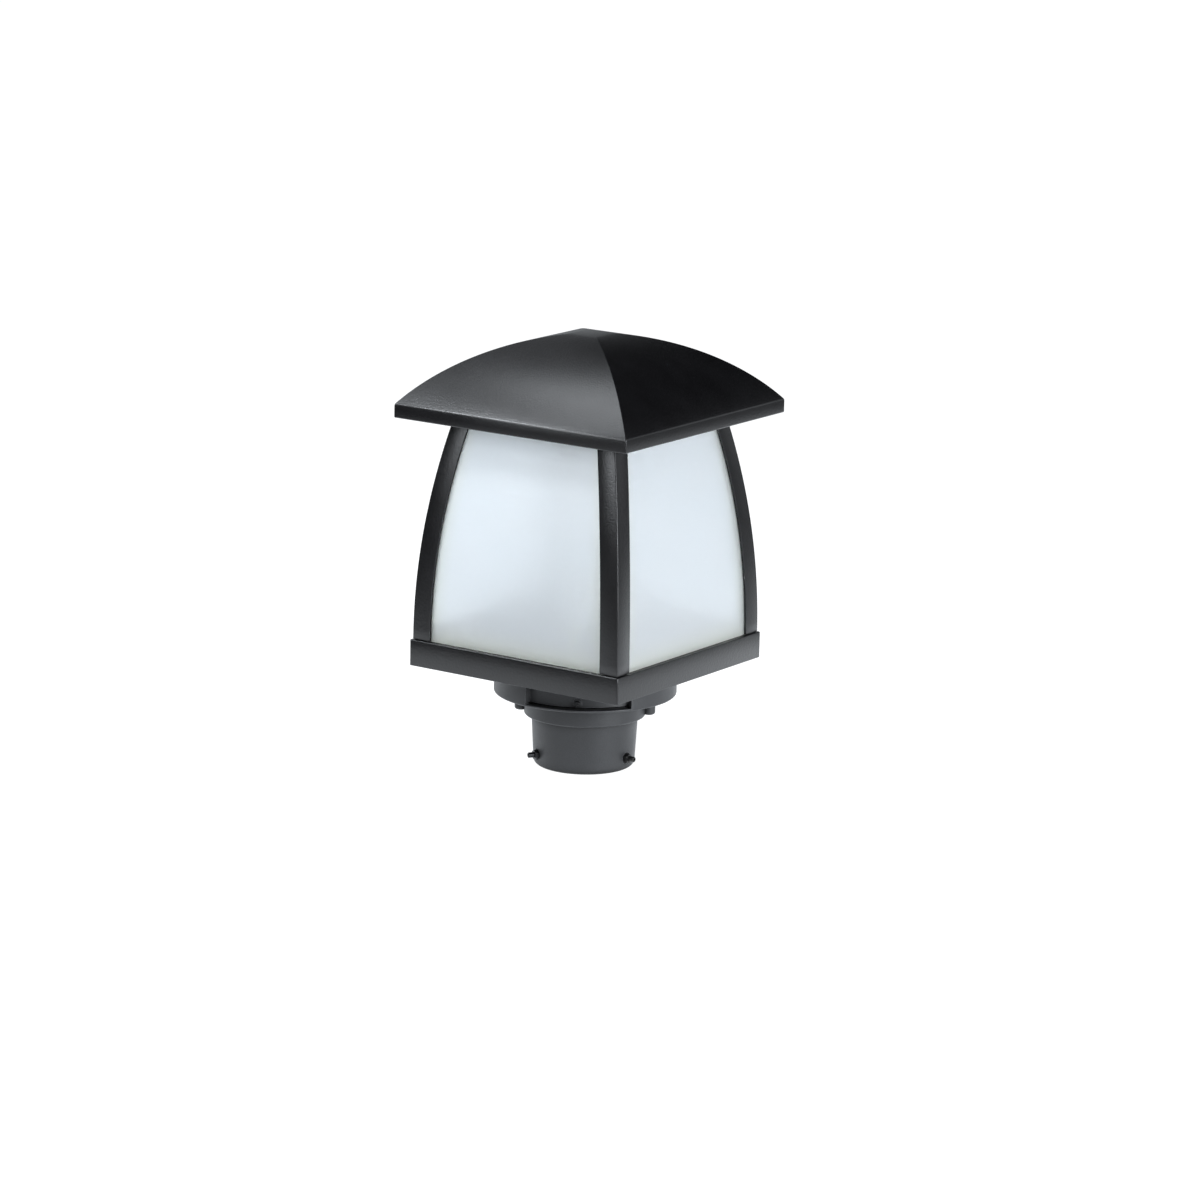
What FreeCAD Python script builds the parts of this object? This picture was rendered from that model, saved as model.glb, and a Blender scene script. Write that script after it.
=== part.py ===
import FreeCAD, Part
import math
import os
import re

import Sketcher
from FreeCAD import Placement, Rotation, Vector

# Post top lantern. Millimetres, +Z up, origin at the centre of the collar's foot.
# The lantern's front is -Y; its four faces lie along X and Y. The canopy and the collar below it
# are one turned group: they are modelled with the canopy's recess towards +Y and turned as a whole.

SIZES = {
    # post collar: a socket that slips over a round post, and its flange
    "bore_radius": 39.0,
    "socket_depth": 48.0,
    "socket_height": 46.9,
    "foot_radius": 46.0,
    "neck_radius": 48.2,
    "foot_round": 5.5,
    "flange_radius": 55.0,
    "flange_height": 19.7,
    "flange_wall": 8.0,
    "flange_round": 1.2,
    "neck_round": 2.2,
    "stop_thickness": 3.0,
    "cable_hole_radius": 30.0,
    "collar_boss_radius": 6.0,
    "collar_boss_offset": 3.0,
    "collar_boss_drop": 18.6,
    "collar_boss_round": 2.5,
    # set screws that clamp the post, and their lock nuts
    "set_screw_height": 12.2,
    "set_screw_radius": 2.5,
    "set_screw_length": 15.8,
    "set_screw_setback": 0.6,
    "set_screw_point": 0.7,
    "hex_key": 2.5,
    "hex_key_depth": 2.5,
    "nut_width": 8.0,
    "nut_thickness": 4.0,
    "nut_chamfer": 0.6,
    "nut_seat_radius": 45.9,
    "nut_seat_size": 5.3,
    "nut_gap": 0.2,
    # canopy
    "canopy_angle": 210.0,
    "gasket_thickness": 1.0,
    "canopy_radius": 82.7,
    "canopy_drop": 27.3,
    "canopy_wall": 3.0,
    "canopy_floor": 3.5,
    "canopy_round": 1.2,
    "recess_depth": 6.5,
    "recess_angle": 70.0,
    "recess_backing_angle": 78.0,
    "recess_ledge": 2.0,
    "recess_height": 36.0,
    "recess_boss_radius": 4.0,
    "recess_boss_rise": 1.2,
    "canopy_boss_radius": 5.0,
    "canopy_boss_inset": 5.2,
    "canopy_boss_hole_depth": 16.0,
    "seat_depth": 6.2,
    "tray_gasket_thickness": 1.5,
    # base tray
    "tray_side": 227.2,
    "tray_height": 23.9,
    "tray_wall": 3.0,
    "tray_plate": 3.0,
    "tray_corner_round": 2.0,
    "tray_edge_round": 0.8,
    # cage: corner posts, panes, strips and top frame
    "cage_height": 202.2,
    "post_inset": 2.0,
    "post_curve": 850.0,
    "post_face": 19.0,
    "post_block": 14.0,
    "post_lip": 2.5,
    "post_rise": 8.0,
    "post_foot_height": 0.8,
    "post_foot_margin": 1.5,
    "post_edge_round": 0.9,
    "pane_thickness": 3.0,
    "pane_gap": 0.3,
    "pane_headroom": 0.5,
    "strip_height": 8.0,
    "strip_thickness": 2.0,
    "strip_foot": 12.0,
    "strip_screw_spread": 60.0,
    "strip_screw_inset": 7.0,
    "frame_side": 208.0,
    "frame_opening": 132.0,
    "frame_thickness": 2.5,
    "frame_corner_round": 4.0,
    "rim_height": 12.0,
    "rim_wall": 2.0,
    # roof
    "roof_side": 250.0,
    "cap_side": 29.2,
    "eave_height": 12.2,
    "dome_rise": 61.7,
    "dome_radius": 170.0,
    "roof_wall": 2.2,
    "roof_edge_round": 0.7,
    "roof_boss_radius": 4.5,
    "roof_boss_hole_depth": 12.0,
    "roof_screw_reach": 98.0,
    "pad_thickness": 1.5,
    "pad_radius": 5.5,
    # screws: shank radius, head radius and head height of each size used
    "small_shank": 1.5,
    "small_head": 2.8,
    "small_head_height": 2.0,
    "middle_shank": 2.0,
    "middle_head": 3.8,
    "middle_head_height": 2.6,
    "large_shank": 2.5,
    "large_head": 4.5,
    "large_head_height": 3.2,
    "cross_width": 0.9,
    "cross_depth": 1.2,
    "screw_clearance": 0.05,
    "post_screw_grip": 12.0,
    "roof_screw_grip": 9.0,
    "canopy_screw_grip": 12.0,
    "collar_screw_grip": 10.0,
    "short_screw_tail": 2.0,
    # lampholder on its bracket
    "bridge_length": 70.0,
    "bridge_width": 24.0,
    "bridge_rise": 7.5,
    "bridge_sheet": 1.5,
    "bridge_foot": 11.0,
    "holder_radius": 22.0,
    "holder_height": 34.0,
    "holder_base": 8.0,
    "holder_round": 1.5,
    "cavity_radius": 15.6,
    "well_radius": 4.6,
    "well_floor": 2.0,
    "holder_screw_reach": 10.5,
    "shell_inner": 13.3,
    "shell_outer": 14.1,
    "shell_crest": 1.1,
    "shell_height": 23.0,
    "thread_pitch": 3.6,
    "contact_radius": 4.3,
    "contact_length": 4.5,
    "contact_travel": 1.5,
    "spring_radius": 3.4,
    "spring_wall": 0.8,
    "spring_pressed": 1.7,
    # terminal block on its bracket
    "block_length": 32.0,
    "block_depth": 16.0,
    "block_height": 18.0,
    "block_lift": 8.0,
    "way_pitch": 10.0,
    "bracket_width": 36.0,
    "bracket_height": 28.0,
    "bracket_sheet": 1.5,
    "clamp_screw_rise": 3.5,
    "recess_screw_height": 7.2,
    # leads, grommet and earth terminal
    "lead_radius": 1.2,
    "lead_entry_depth": 6.0,
    "grommet_reach": 50.0,
    "grommet_radius": 7.5,
    "grommet_bore": 4.6,
    "grommet_flange": 1.6,
    "earth_x": 45.0,
    "earth_y": -84.0,
    "tongue_radius": 5.0,
    "tongue_thickness": 1.0,
    "tongue_reach": 7.0,
    "barrel_radius": 1.9,
    "barrel_height": 7.0,
    # how the leads run: rises over the block and the floor, and the earth lead's bow
    "lead_rise": 4.0,
    "lead_dip": 5.0,
    "lead_spread": 1.92,
    "lead_approach": 10.0,
    "earth_pass": 3.0,
    "earth_climb": 12.0,
    "earth_crest": 23.0,
    "earth_bow": 9.0,
    "earth_bow_side": 0.5,
    "earth_lean": 8.0,
    "earth_turn": 22.5,
}

# Levels and widths that follow from the sizes above.
DERIVED = {
    "flange_top": "socket_height + flange_height",
    "collar_boss_reach": "flange_radius + collar_boss_offset",
    "canopy_base": "flange_top + gasket_thickness",
    "canopy_boss_reach": "canopy_radius - canopy_wall - canopy_boss_inset",
    "bracket_seat": "canopy_radius - recess_depth - seat_depth",
    "tray_base": "canopy_base + canopy_drop",
    "floor_z": "tray_base + tray_height",
    "plate_under": "floor_z - tray_plate",
    "canopy_height": "plate_under - tray_gasket_thickness - canopy_base",
    "eave_base": "floor_z + cage_height",
    "post_top": "eave_base + post_rise",
    "frame_top": "post_top + frame_thickness",
    "eave_top": "eave_base + eave_height",
    "cap_z": "eave_top + dome_rise",
    "tray_half": "tray_side / 2",
    "post_half": "tray_half - post_inset",
    "post_half_top": "post_half - post_curve + sqrt(post_curve^2 - (post_top - floor_z)^2)",
    "post_screw_low": "post_half - post_block / 2",
    "post_screw_high": "post_half_top - post_block / 2",
    "pane_outer": "post_lip + pane_gap",
    "pane_inner": "pane_outer + pane_thickness",
    "strip_face": "post_half - pane_inner - pane_gap",
    "strip_length": "2 * (strip_face - strip_foot - pane_gap)",
    "rim_face": "post_half_top - pane_inner - pane_gap",
    "rim_length": "2 * (post_half_top - post_block - 2 * pane_gap)",
    "roof_half": "roof_side / 2",
    "cap_half": "cap_side / 2",
    "dome_run": "roof_half - cap_half",
    "dome_chord": "sqrt(dome_run^2 + dome_rise^2)",
    "dome_apothem": "sqrt(dome_radius^2 - dome_chord^2 / 4)",
    "dome_x": "(roof_half + cap_half) / 2 - dome_apothem * dome_rise / dome_chord",
    "dome_z": "(eave_top + cap_z) / 2 - dome_apothem * dome_run / dome_chord",
    "inner_radius": "dome_radius - roof_wall",
    "inner_half": "roof_half - roof_wall",
    "inner_eave": "dome_z + sqrt(inner_radius^2 - (inner_half - dome_x)^2)",
    "inner_cap": "cap_z - roof_wall",
    "inner_cap_half": "dome_x + sqrt(inner_radius^2 - (inner_cap - dome_z)^2)",
    "boss_low": "frame_top + pad_thickness",
    "spring_length": "spring_pressed + contact_travel",
    "bridge_top": "floor_z + bridge_rise + bridge_sheet",
    "block_base": "canopy_base + canopy_floor + block_lift",
    "block_top": "block_base + block_height",
    "block_back": "bracket_seat - bracket_sheet",
    "block_front": "block_back - block_depth",
}

SCREW_TIP, SCREW_TAPER, CROSS_SPAN = 0.7, 0.4, 0.55
SET_SCREWS = 3
LEVEL_TOLERANCE = 1e-4
POSTS = {"post_rear_right": 0, "post_rear_left": 90, "post_front_left": 180, "post_front_right": 270}
SIDES = {"rear": 0, "left": 90, "front": 180, "right": 270}
WAYS = ("-way_pitch", "0", "way_pitch")
ARC_SHARE = 0.45
PLANES = {"XY": Rotation(0, 0, 0), "XZ": Rotation(0, 0, 90), "YZ": Rotation(90, 0, 90)}

doc = FreeCAD.newDocument("PostTopLantern")
sheet = doc.addObject("Spreadsheet::Sheet", "Sizes")
for row, (word, number) in enumerate(SIZES.items(), 1):
    sheet.set(f"A{row}", word)
    sheet.set(f"B{row}", str(number))
    sheet.setAlias(f"B{row}", word)
doc.recompute()

nodes = []


# ---- sizes and expressions ----

def linked(text):
    """Write a size expression the way the document's objects read it from the sheet."""
    def word_for(match):
        word = match.group(0)
        if word in DERIVED:
            return f"({linked(DERIVED[word])})"
        return f"Sizes.{word}" if word in SIZES else word
    return re.sub(r"[A-Za-z_]\w*", word_for, str(text))


def size(text):
    """The value of a size expression in millimetres or degrees."""
    return float(sheet.evalExpression(linked(text)))


def bind(thing, prop, text):
    """Tie one property of an object to the sheet."""
    thing.setExpression(prop, linked(text))


def lean(level, inward="0"):
    """Distance from the axis to a post's outer face, less an offset, at a level."""
    return f"(post_half - post_curve + sqrt(post_curve^2 - ({level} - floor_z)^2) - ({inward}))"


# ---- sketches ----

def pin(sketch, index, corner, x, y):
    """Hold one point of a sketch at a place given by two expressions."""
    for kind, text in (("DistanceX", x), ("DistanceY", y)):
        place = sketch.addConstraint(Sketcher.Constraint(kind, -1, 1, index, corner, size(text)))
        if re.search("[a-z]", str(text)):
            bind(sketch, f"Constraints[{place}]", text)


def arc_between(start, end, radius):
    """A circle arc between two points; a positive radius turns left, a negative one right."""
    half = (end - start) * 0.5
    apothem = math.sqrt(max(radius * radius - half.Length ** 2, 0.0))
    side = Vector(-half.y, half.x, 0).normalize() * math.copysign(apothem, radius)
    centre = start + half + side
    first, last = (start, end) if radius > 0 else (end, start)
    angles = [math.atan2(point.y - centre.y, point.x - centre.x) for point in (first, last)]
    return Part.ArcOfCircle(Part.Circle(centre, Vector(0, 0, 1), abs(radius)), *angles)


def trace(sketch, corners):
    """Draw a closed outline. A corner is (x, y), or (x, y, radius) where an arc arrives at it."""
    places = [Vector(size(corner[0]), size(corner[1]), 0) for corner in corners]
    ends = []
    for step, corner in enumerate(corners):
        start, end = places[step - 1], places[step]
        if len(corner) == 2:
            index = sketch.addGeometry(Part.LineSegment(start, end), False)
            ends.append((index, 1, 2))
            continue
        radius = size(corner[2])
        index = sketch.addGeometry(arc_between(start, end, radius), False)
        ends.append((index, 1, 2) if radius > 0 else (index, 2, 1))
        place = sketch.addConstraint(Sketcher.Constraint("Radius", index, abs(radius)))
        bind(sketch, f"Constraints[{place}]", f"abs({corner[2]})")
    for step, (index, first, last) in enumerate(ends):
        following = ends[(step + 1) % len(ends)]
        sketch.addConstraint(Sketcher.Constraint("Coincident", index, last, following[0], following[1]))
        pin(sketch, index, last, *corners[step][:2])


def disc(sketch, radius, x="0", y="0"):
    """Draw a circle."""
    circle = Part.Circle(Vector(size(x), size(y), 0), Vector(0, 0, 1), size(radius))
    index = sketch.addGeometry(circle, False)
    place = sketch.addConstraint(Sketcher.Constraint("Radius", index, size(radius)))
    bind(sketch, f"Constraints[{place}]", radius)
    pin(sketch, index, 3, x, y)


def oblong(sketch, x_low, y_low, x_high, y_high):
    """Draw a rectangle between two corners."""
    trace(sketch, [(x_low, y_low), (x_high, y_low), (x_high, y_high), (x_low, y_high)])


def square(sketch, half):
    """Draw a square about the axis."""
    oblong(sketch, f"-({half})", f"-({half})", half, half)


def hexagon(sketch, width):
    """Draw a hexagon by its width across the flats."""
    flat, point = f"({width}) / 2", f"({width}) / sqrt(3)"
    trace(sketch, [(point, "0"), (f"{point} / 2", flat), (f"-{point} / 2", flat),
                   (f"-{point}", "0"), (f"-{point} / 2", f"-{flat}"), (f"{point} / 2", f"-{flat}")])


# ---- bodies made of sketched features ----

def new_body(label):
    """Start a sub-part that is made of sketched features."""
    body = doc.addObject("PartDesign::Body", label)
    body.Label = label
    nodes.append(body)
    return body


def sketch_on(body, plane, offset="0"):
    """Start a sketch on one of a body's own origin planes, moved along its normal."""
    sketch = body.newObject("Sketcher::SketchObject", f"{body.Name}_sketch")
    origin = next(item for item in body.Origin.OriginFeatures if item.Role == f"{plane}_Plane")
    sketch.AttachmentSupport = [(origin, "")]
    sketch.MapMode = "FlatFace"
    bind(sketch, "AttachmentOffset.Base.z", f"1 * ({offset})")
    return sketch


def finish_feature(body, feature, adds):
    """Recompute, and insist that the feature added or removed material."""
    before = body.Tip.Shape.Volume if body.Tip and body.Tip != feature else None
    body.Tip = feature
    doc.recompute()
    after = feature.Shape.Volume
    if before is not None and (after <= before if adds else after >= before):
        raise RuntimeError(f"{feature.Label} changed nothing")
    return feature


def pad(body, sketch, length, upward=True, midplane=False):
    """Add a straight extrusion of a sketch."""
    previous = body.Tip
    feature = body.newObject("PartDesign::Pad", f"{body.Name}_pad")
    feature.Profile = sketch
    feature.Midplane = midplane
    feature.Reversed = not upward
    bind(feature, "Length", length)
    body.Tip = previous
    return finish_feature(body, feature, True)


def pocket(body, sketch, length, upward=False, midplane=False):
    """Remove a straight extrusion of a sketch."""
    previous = body.Tip
    feature = body.newObject("PartDesign::Pocket", f"{body.Name}_pocket")
    feature.Profile = sketch
    feature.Midplane = midplane
    feature.Reversed = upward
    bind(feature, "Length", length)
    body.Tip = previous
    return finish_feature(body, feature, False)


def spin(body, sketch, angle="360", cut=False, axis=None):
    """Turn a sketch about its vertical axis, or about an upright line at a distance from it."""
    previous = body.Tip
    kind = "Groove" if cut else "Revolution"
    feature = body.newObject(f"PartDesign::{kind}", f"{body.Name}_{kind.lower()}")
    feature.Profile = sketch
    feature.ReferenceAxis = (sketch, ["V_Axis"])
    if axis is not None:
        reach = size(axis)
        line = Part.LineSegment(Vector(reach, 0, 0), Vector(reach, 1, 0))
        index = sketch.addGeometry(line, True)
        pin(sketch, index, 1, axis, "0")
        pin(sketch, index, 2, axis, "1")
        feature.ReferenceAxis = (sketch, ["Axis0"])
    feature.Midplane = True
    bind(feature, "Angle", f"1 * ({angle})")
    body.Tip = previous
    return finish_feature(body, feature, not cut)


def around(body, features, count, adds):
    """Repeat features around the vertical axis."""
    previous = body.Tip
    pattern = body.newObject("PartDesign::PolarPattern", f"{body.Name}_pattern")
    pattern.Originals = features
    axis = next(item for item in body.Origin.OriginFeatures if item.Role == "Z_Axis")
    pattern.Axis = (axis, [""])
    pattern.Angle = 360
    pattern.Occurrences = count
    body.Tip = previous
    return finish_feature(body, pattern, adds)


def round_edges(body, radius, chosen):
    """Round the edges of the body that a test picks."""
    previous = body.Tip
    names = [f"Edge{number}" for number, edge in enumerate(previous.Shape.Edges, 1) if chosen(edge)]
    feature = body.newObject("PartDesign::Fillet", f"{body.Name}_round")
    feature.Base = (previous, names)
    bind(feature, "Radius", radius)
    body.Tip = previous
    return finish_feature(body, feature, False)


def is_level(edge, height):
    """True for an edge that lies level at a height."""
    box = edge.BoundBox
    return abs(box.ZMin - height) < LEVEL_TOLERANCE and abs(box.ZMax - height) < LEVEL_TOLERANCE


def is_upright(edge):
    """True for a straight vertical edge."""
    box = edge.BoundBox
    return box.XLength < LEVEL_TOLERANCE and box.YLength < LEVEL_TOLERANCE


def seat(thing, x="0", y="0", z="0", turn=None):
    """Put a sub-part in its place; the height and offsets stay tied to the sheet."""
    if turn is not None:
        thing.Placement = Placement(Vector(), turn)
    for letter, text in zip("xyz", (x, y, z)):
        bind(thing, f"Placement.Base.{letter}", f"1 * ({text})")


def about_z(angle):
    """A turn about the vertical axis."""
    return Rotation(Vector(0, 0, 1), angle)


# ---- solids made of crossed slabs ----

def slab(name, plane, corners, length):
    """Extrude an upright outline both ways from the plane it is drawn on."""
    sketch = doc.addObject("Sketcher::SketchObject", f"{name}_sketch")
    sketch.Placement = Placement(Vector(), PLANES[plane])
    trace(sketch, corners)
    solid = doc.addObject("Part::Extrusion", name)
    solid.Base = sketch
    solid.DirMode = "Normal"
    solid.Solid = True
    solid.Symmetric = True
    bind(solid, "LengthFwd", length)
    return solid


def crossed(name, seen_from_front, seen_from_side, length):
    """What two slabs at right angles share."""
    shared = doc.addObject("Part::Common", name)
    shared.Base = slab(f"{name}_front", "XZ", seen_from_front, length)
    shared.Tool = slab(f"{name}_side", "YZ", seen_from_side, length)
    return shared


def rod(name, radius, height, x, y, z):
    """A round upright rod."""
    solid = doc.addObject("Part::Cylinder", name)
    bind(solid, "Radius", radius)
    bind(solid, "Height", height)
    seat(solid, x, y, z)
    return solid


def joined(name, solids):
    """Fuse solids into one."""
    solid = doc.addObject("Part::MultiFuse", name)
    solid.Shapes = solids
    return solid


def carved(name, solid, tools):
    """Cut tools out of a solid."""
    result = doc.addObject("Part::Cut", name)
    result.Base = solid
    result.Tool = joined(f"{name}_tools", tools) if len(tools) > 1 else tools[0]
    return result


def as_node(thing, label):
    """Name a finished sub-part."""
    thing.Label = label
    nodes.append(thing)
    return thing


# ---- screws ----

def screw_outline(shank, head, head_height, grip):
    """Half outline of a pan head screw; its head stands on z = 0 and its shank points down."""
    rim = f"({head_height}) / 2"
    return [("0", f"-({grip})"), (f"({shank}) * {SCREW_TIP}", f"-({grip})"),
            (shank, f"-({grip}) + ({shank}) * {SCREW_TAPER}"),
            (shank, "0"), (head, "0"), (head, rim), (f"({head}) - {rim}", head_height, rim),
            ("0", head_height)]


def screw_group(label, kind, grip, places, pointing=Vector(0, 0, -1)):
    """Like screws at several places, each a separate solid of one sub-part."""
    shank, head, tall = f"{kind}_shank", f"{kind}_head", f"{kind}_head_height"
    body = doc.addObject("PartDesign::Body", f"{label}_pattern_screw")
    sketch = sketch_on(body, "XZ")
    trace(sketch, screw_outline(shank, head, tall, grip))
    spin(body, sketch)
    sketch = sketch_on(body, "XY", tall)
    reach = f"{head} * {CROSS_SPAN}"
    half = "cross_width / 2"
    trace(sketch, [(reach, f"-{half}"), (reach, half), (half, half), (half, reach), (f"-{half}", reach),
                   (f"-{half}", half), (f"-({reach})", half), (f"-({reach})", f"-{half}"),
                   (f"-{half}", f"-{half}"), (f"-{half}", f"-({reach})"), (half, f"-({reach})"),
                   (half, f"-{half}")])
    pocket(body, sketch, "cross_depth")
    turn = Rotation(Vector(0, 0, -1), pointing)
    copies = []
    for place in places:
        copy = body.Shape.copy()
        copy.Placement = Placement(place, turn).multiply(copy.Placement)
        copies.append(copy)
    group = doc.addObject("Part::Feature", label)
    group.Shape = Part.makeCompound(copies)
    return as_node(group, label)


def ring_places(reach, height, first, count):
    """Points on a circle about the axis."""
    turns = [math.radians(first + 360.0 / count * step) for step in range(count)]
    return [Vector(size(reach) * math.cos(turn), size(reach) * math.sin(turn), size(height))
            for turn in turns]


def corner_places(reach, height):
    """The four corners of a square about the axis."""
    return [Vector(x * size(reach), y * size(reach), size(height)) for x in (-1, 1) for y in (-1, 1)]


def in_canopy(x, y, z):
    """A place given in the turned group's own frame."""
    return about_z(size("canopy_angle")).multVec(Vector(size(x), size(y), size(z)))


def bridge_places(height):
    """Where the lampholder's bracket is screwed to the floor."""
    reach = "bridge_length / 2 - bridge_foot / 2"
    return [in_canopy(f"{side}({reach})", "0", height) for side in ("", "-")]


def strip_places(height):
    """Where the pane strips are screwed to the floor."""
    across, along, level = (size(text) for text in ("strip_face - strip_screw_inset", "strip_screw_spread",
                                                    height))
    ends = [(x * along, y * across) for x in (-1, 1) for y in (-1, 1)]
    return [Vector(*pair, level) for x, y in ends for pair in ((x, y), (y, x))]


# ---- post collar ----

def make_collar():
    """Cast socket for the post, with a wider hollow flange and two screw bosses."""
    body = new_body("post_collar")
    sketch = sketch_on(body, "XZ")
    inner = "flange_radius - flange_wall"
    trace(sketch, [
        ("bore_radius", "0"), ("foot_radius - foot_round", "0"),
        ("foot_radius", "foot_round", "foot_round"),
        ("neck_radius", "socket_height - neck_round"),
        ("neck_radius + neck_round", "socket_height", "-neck_round"),
        ("flange_radius - flange_round", "socket_height"),
        ("flange_radius", "socket_height + flange_round", "flange_round"),
        ("flange_radius", "flange_top"), (inner, "flange_top"),
        (inner, "socket_depth + stop_thickness"), ("cable_hole_radius", "socket_depth + stop_thickness"),
        ("cable_hole_radius", "socket_depth"), ("bore_radius", "socket_depth")])
    spin(body, sketch)
    low = "flange_top - collar_boss_drop"
    side_of_boss = "collar_boss_reach + collar_boss_radius"
    sketch = sketch_on(body, "XZ")
    trace(sketch, [("collar_boss_reach", low), (f"{side_of_boss} - collar_boss_round", low),
                   (side_of_boss, f"{low} + collar_boss_round", "collar_boss_round"),
                   (side_of_boss, "flange_top"), ("collar_boss_reach", "flange_top")])
    boss = spin(body, sketch, axis="collar_boss_reach")
    around(body, [boss], 2, True)
    sketch = sketch_on(body, "XY", "flange_top")
    for side in ("", "-"):
        disc(sketch, "large_shank + screw_clearance", f"{side}collar_boss_reach")
    pocket(body, sketch, "collar_screw_grip + short_screw_tail")
    seat_sketch = sketch_on(body, "XZ", "nut_seat_radius")
    disc(seat_sketch, "nut_seat_size", "0", "set_screw_height")
    flats = pocket(body, seat_sketch, "flange_radius - nut_seat_radius", upward=True)
    hole_sketch = sketch_on(body, "XZ")
    disc(hole_sketch, "set_screw_radius + screw_clearance", "0", "set_screw_height")
    holes = pocket(body, hole_sketch, "flange_radius", upward=True)
    around(body, [flats, holes], SET_SCREWS, False)
    seat(body, turn=about_z(size("canopy_angle")))
    return body


def outward(angle):
    """A turn that lays an upright piece along a radius of the collar, its top outwards."""
    return about_z(size("canopy_angle") - 90 + angle).multiply(Rotation(Vector(0, 1, 0), 90))


def along_radius(body, radius, angle):
    """Put a piece on a set screw's line, its foot at a distance from the axis."""
    turn = outward(angle)
    reach = turn.multVec(Vector(0, 0, size(radius)))
    body.Placement = Placement(reach + Vector(0, 0, size("set_screw_height")), turn)


def make_set_screw(label, angle):
    """Headless screw with a hexagon socket; its inner end stands back from the bore."""
    body = new_body(label)
    sketch = sketch_on(body, "XZ")
    point = "set_screw_point"
    trace(sketch, [("0", "0"), (f"set_screw_radius - {point}", "0"), ("set_screw_radius", point),
                   ("set_screw_radius", f"set_screw_length - {point} / 2"),
                   (f"set_screw_radius - {point} / 2", "set_screw_length"), ("0", "set_screw_length")])
    spin(body, sketch)
    sketch = sketch_on(body, "XY", "set_screw_length")
    hexagon(sketch, "hex_key")
    pocket(body, sketch, "hex_key_depth")
    along_radius(body, "bore_radius + set_screw_setback", angle)


def make_lock_nut(label, angle):
    """Hexagon nut with chamfered corners, on the collar's flat seat."""
    body = new_body(label)
    sketch = sketch_on(body, "XY")
    hexagon(sketch, "nut_width")
    disc(sketch, "set_screw_radius + screw_clearance")
    pad(body, sketch, "nut_thickness")
    corner = "nut_width / sqrt(3)"
    for level, step in (("0", "nut_chamfer"), ("nut_thickness", "-nut_chamfer")):
        sketch = sketch_on(body, "XZ")
        trace(sketch, [(f"{corner} + nut_chamfer", level),
                       (f"{corner} + nut_chamfer", f"{level} + {step}"),
                       (corner, f"{level} + {step}"), ("nut_width / 2", level)])
        spin(body, sketch, cut=True)
    along_radius(body, "nut_seat_radius + nut_gap", angle)


# ---- canopy ----

def make_canopy():
    """Round pan under the tray, with a long recess in its wall and a flat seat behind it."""
    body = new_body("canopy")
    wall = "canopy_radius - canopy_wall"
    sketch = sketch_on(body, "YZ")
    trace(sketch, [("cable_hole_radius", "0"), ("canopy_radius - canopy_round", "0"),
                   ("canopy_radius", "canopy_round", "canopy_round"), ("canopy_radius", "canopy_height"),
                   (wall, "canopy_height"), (wall, "canopy_floor"), ("cable_hole_radius", "canopy_floor")])
    spin(body, sketch)
    back = "canopy_radius - recess_depth"
    sketch = sketch_on(body, "YZ")
    oblong(sketch, f"{back} - canopy_wall", "canopy_floor / 2", "canopy_radius - canopy_wall / 2",
           "canopy_height")
    spin(body, sketch, "recess_backing_angle")
    sketch = sketch_on(body, "YZ")
    oblong(sketch, back, "recess_ledge", "canopy_radius + canopy_wall", "recess_height")
    spin(body, sketch, "recess_angle", cut=True)
    chord = f"sqrt(({back} - canopy_wall / 2)^2 - bracket_seat^2)"
    sketch = sketch_on(body, "XY", "canopy_floor / 2")
    trace(sketch, [(f"-{chord}", "bracket_seat", f"{back} - canopy_wall / 2"), (chord, "bracket_seat")])
    pad(body, sketch, "canopy_height - canopy_floor / 2")
    sketch = sketch_on(body, "XZ", f"-({back} - canopy_wall)")
    disc(sketch, "recess_boss_radius", "0", "recess_screw_height")
    pad(body, sketch, "canopy_wall + recess_boss_rise", upward=False)
    sketch = sketch_on(body, "XZ")
    disc(sketch, "small_shank + screw_clearance", "0", "recess_screw_height")
    pocket(body, sketch, "canopy_radius")
    quarter = "canopy_boss_reach / sqrt(2)"
    sketch = sketch_on(body, "XY", "canopy_floor / 2")
    disc(sketch, "canopy_boss_radius", quarter, quarter)
    bosses = pad(body, sketch, "canopy_height - canopy_floor / 2")
    around(body, [bosses], 4, True)
    sketch = sketch_on(body, "XY", "canopy_height")
    disc(sketch, "middle_shank + screw_clearance", quarter, quarter)
    holes = pocket(body, sketch, "canopy_boss_hole_depth")
    around(body, [holes], 4, False)
    for side in ("", "-"):
        sketch = sketch_on(body, "XY", "canopy_floor")
        disc(sketch, "large_shank + screw_clearance", f"{side}collar_boss_reach")
        pocket(body, sketch, "canopy_floor")
    seat(body, z="canopy_base", turn=about_z(size("canopy_angle")))


def make_gaskets():
    """Flat rings under the canopy and between canopy and tray."""
    rings = (("collar_gasket", "flange_radius - flange_wall", "flange_radius - gasket_thickness",
              "gasket_thickness", "flange_top"),
             ("tray_gasket", "canopy_radius - canopy_wall", "canopy_radius", "tray_gasket_thickness",
              "plate_under - tray_gasket_thickness"))
    for label, inner, outer, thick, level in rings:
        body = new_body(label)
        sketch = sketch_on(body, "XY")
        disc(sketch, outer)
        disc(sketch, inner)
        pad(body, sketch, thick)
        seat(body, z=level)


# ---- base tray ----

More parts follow.
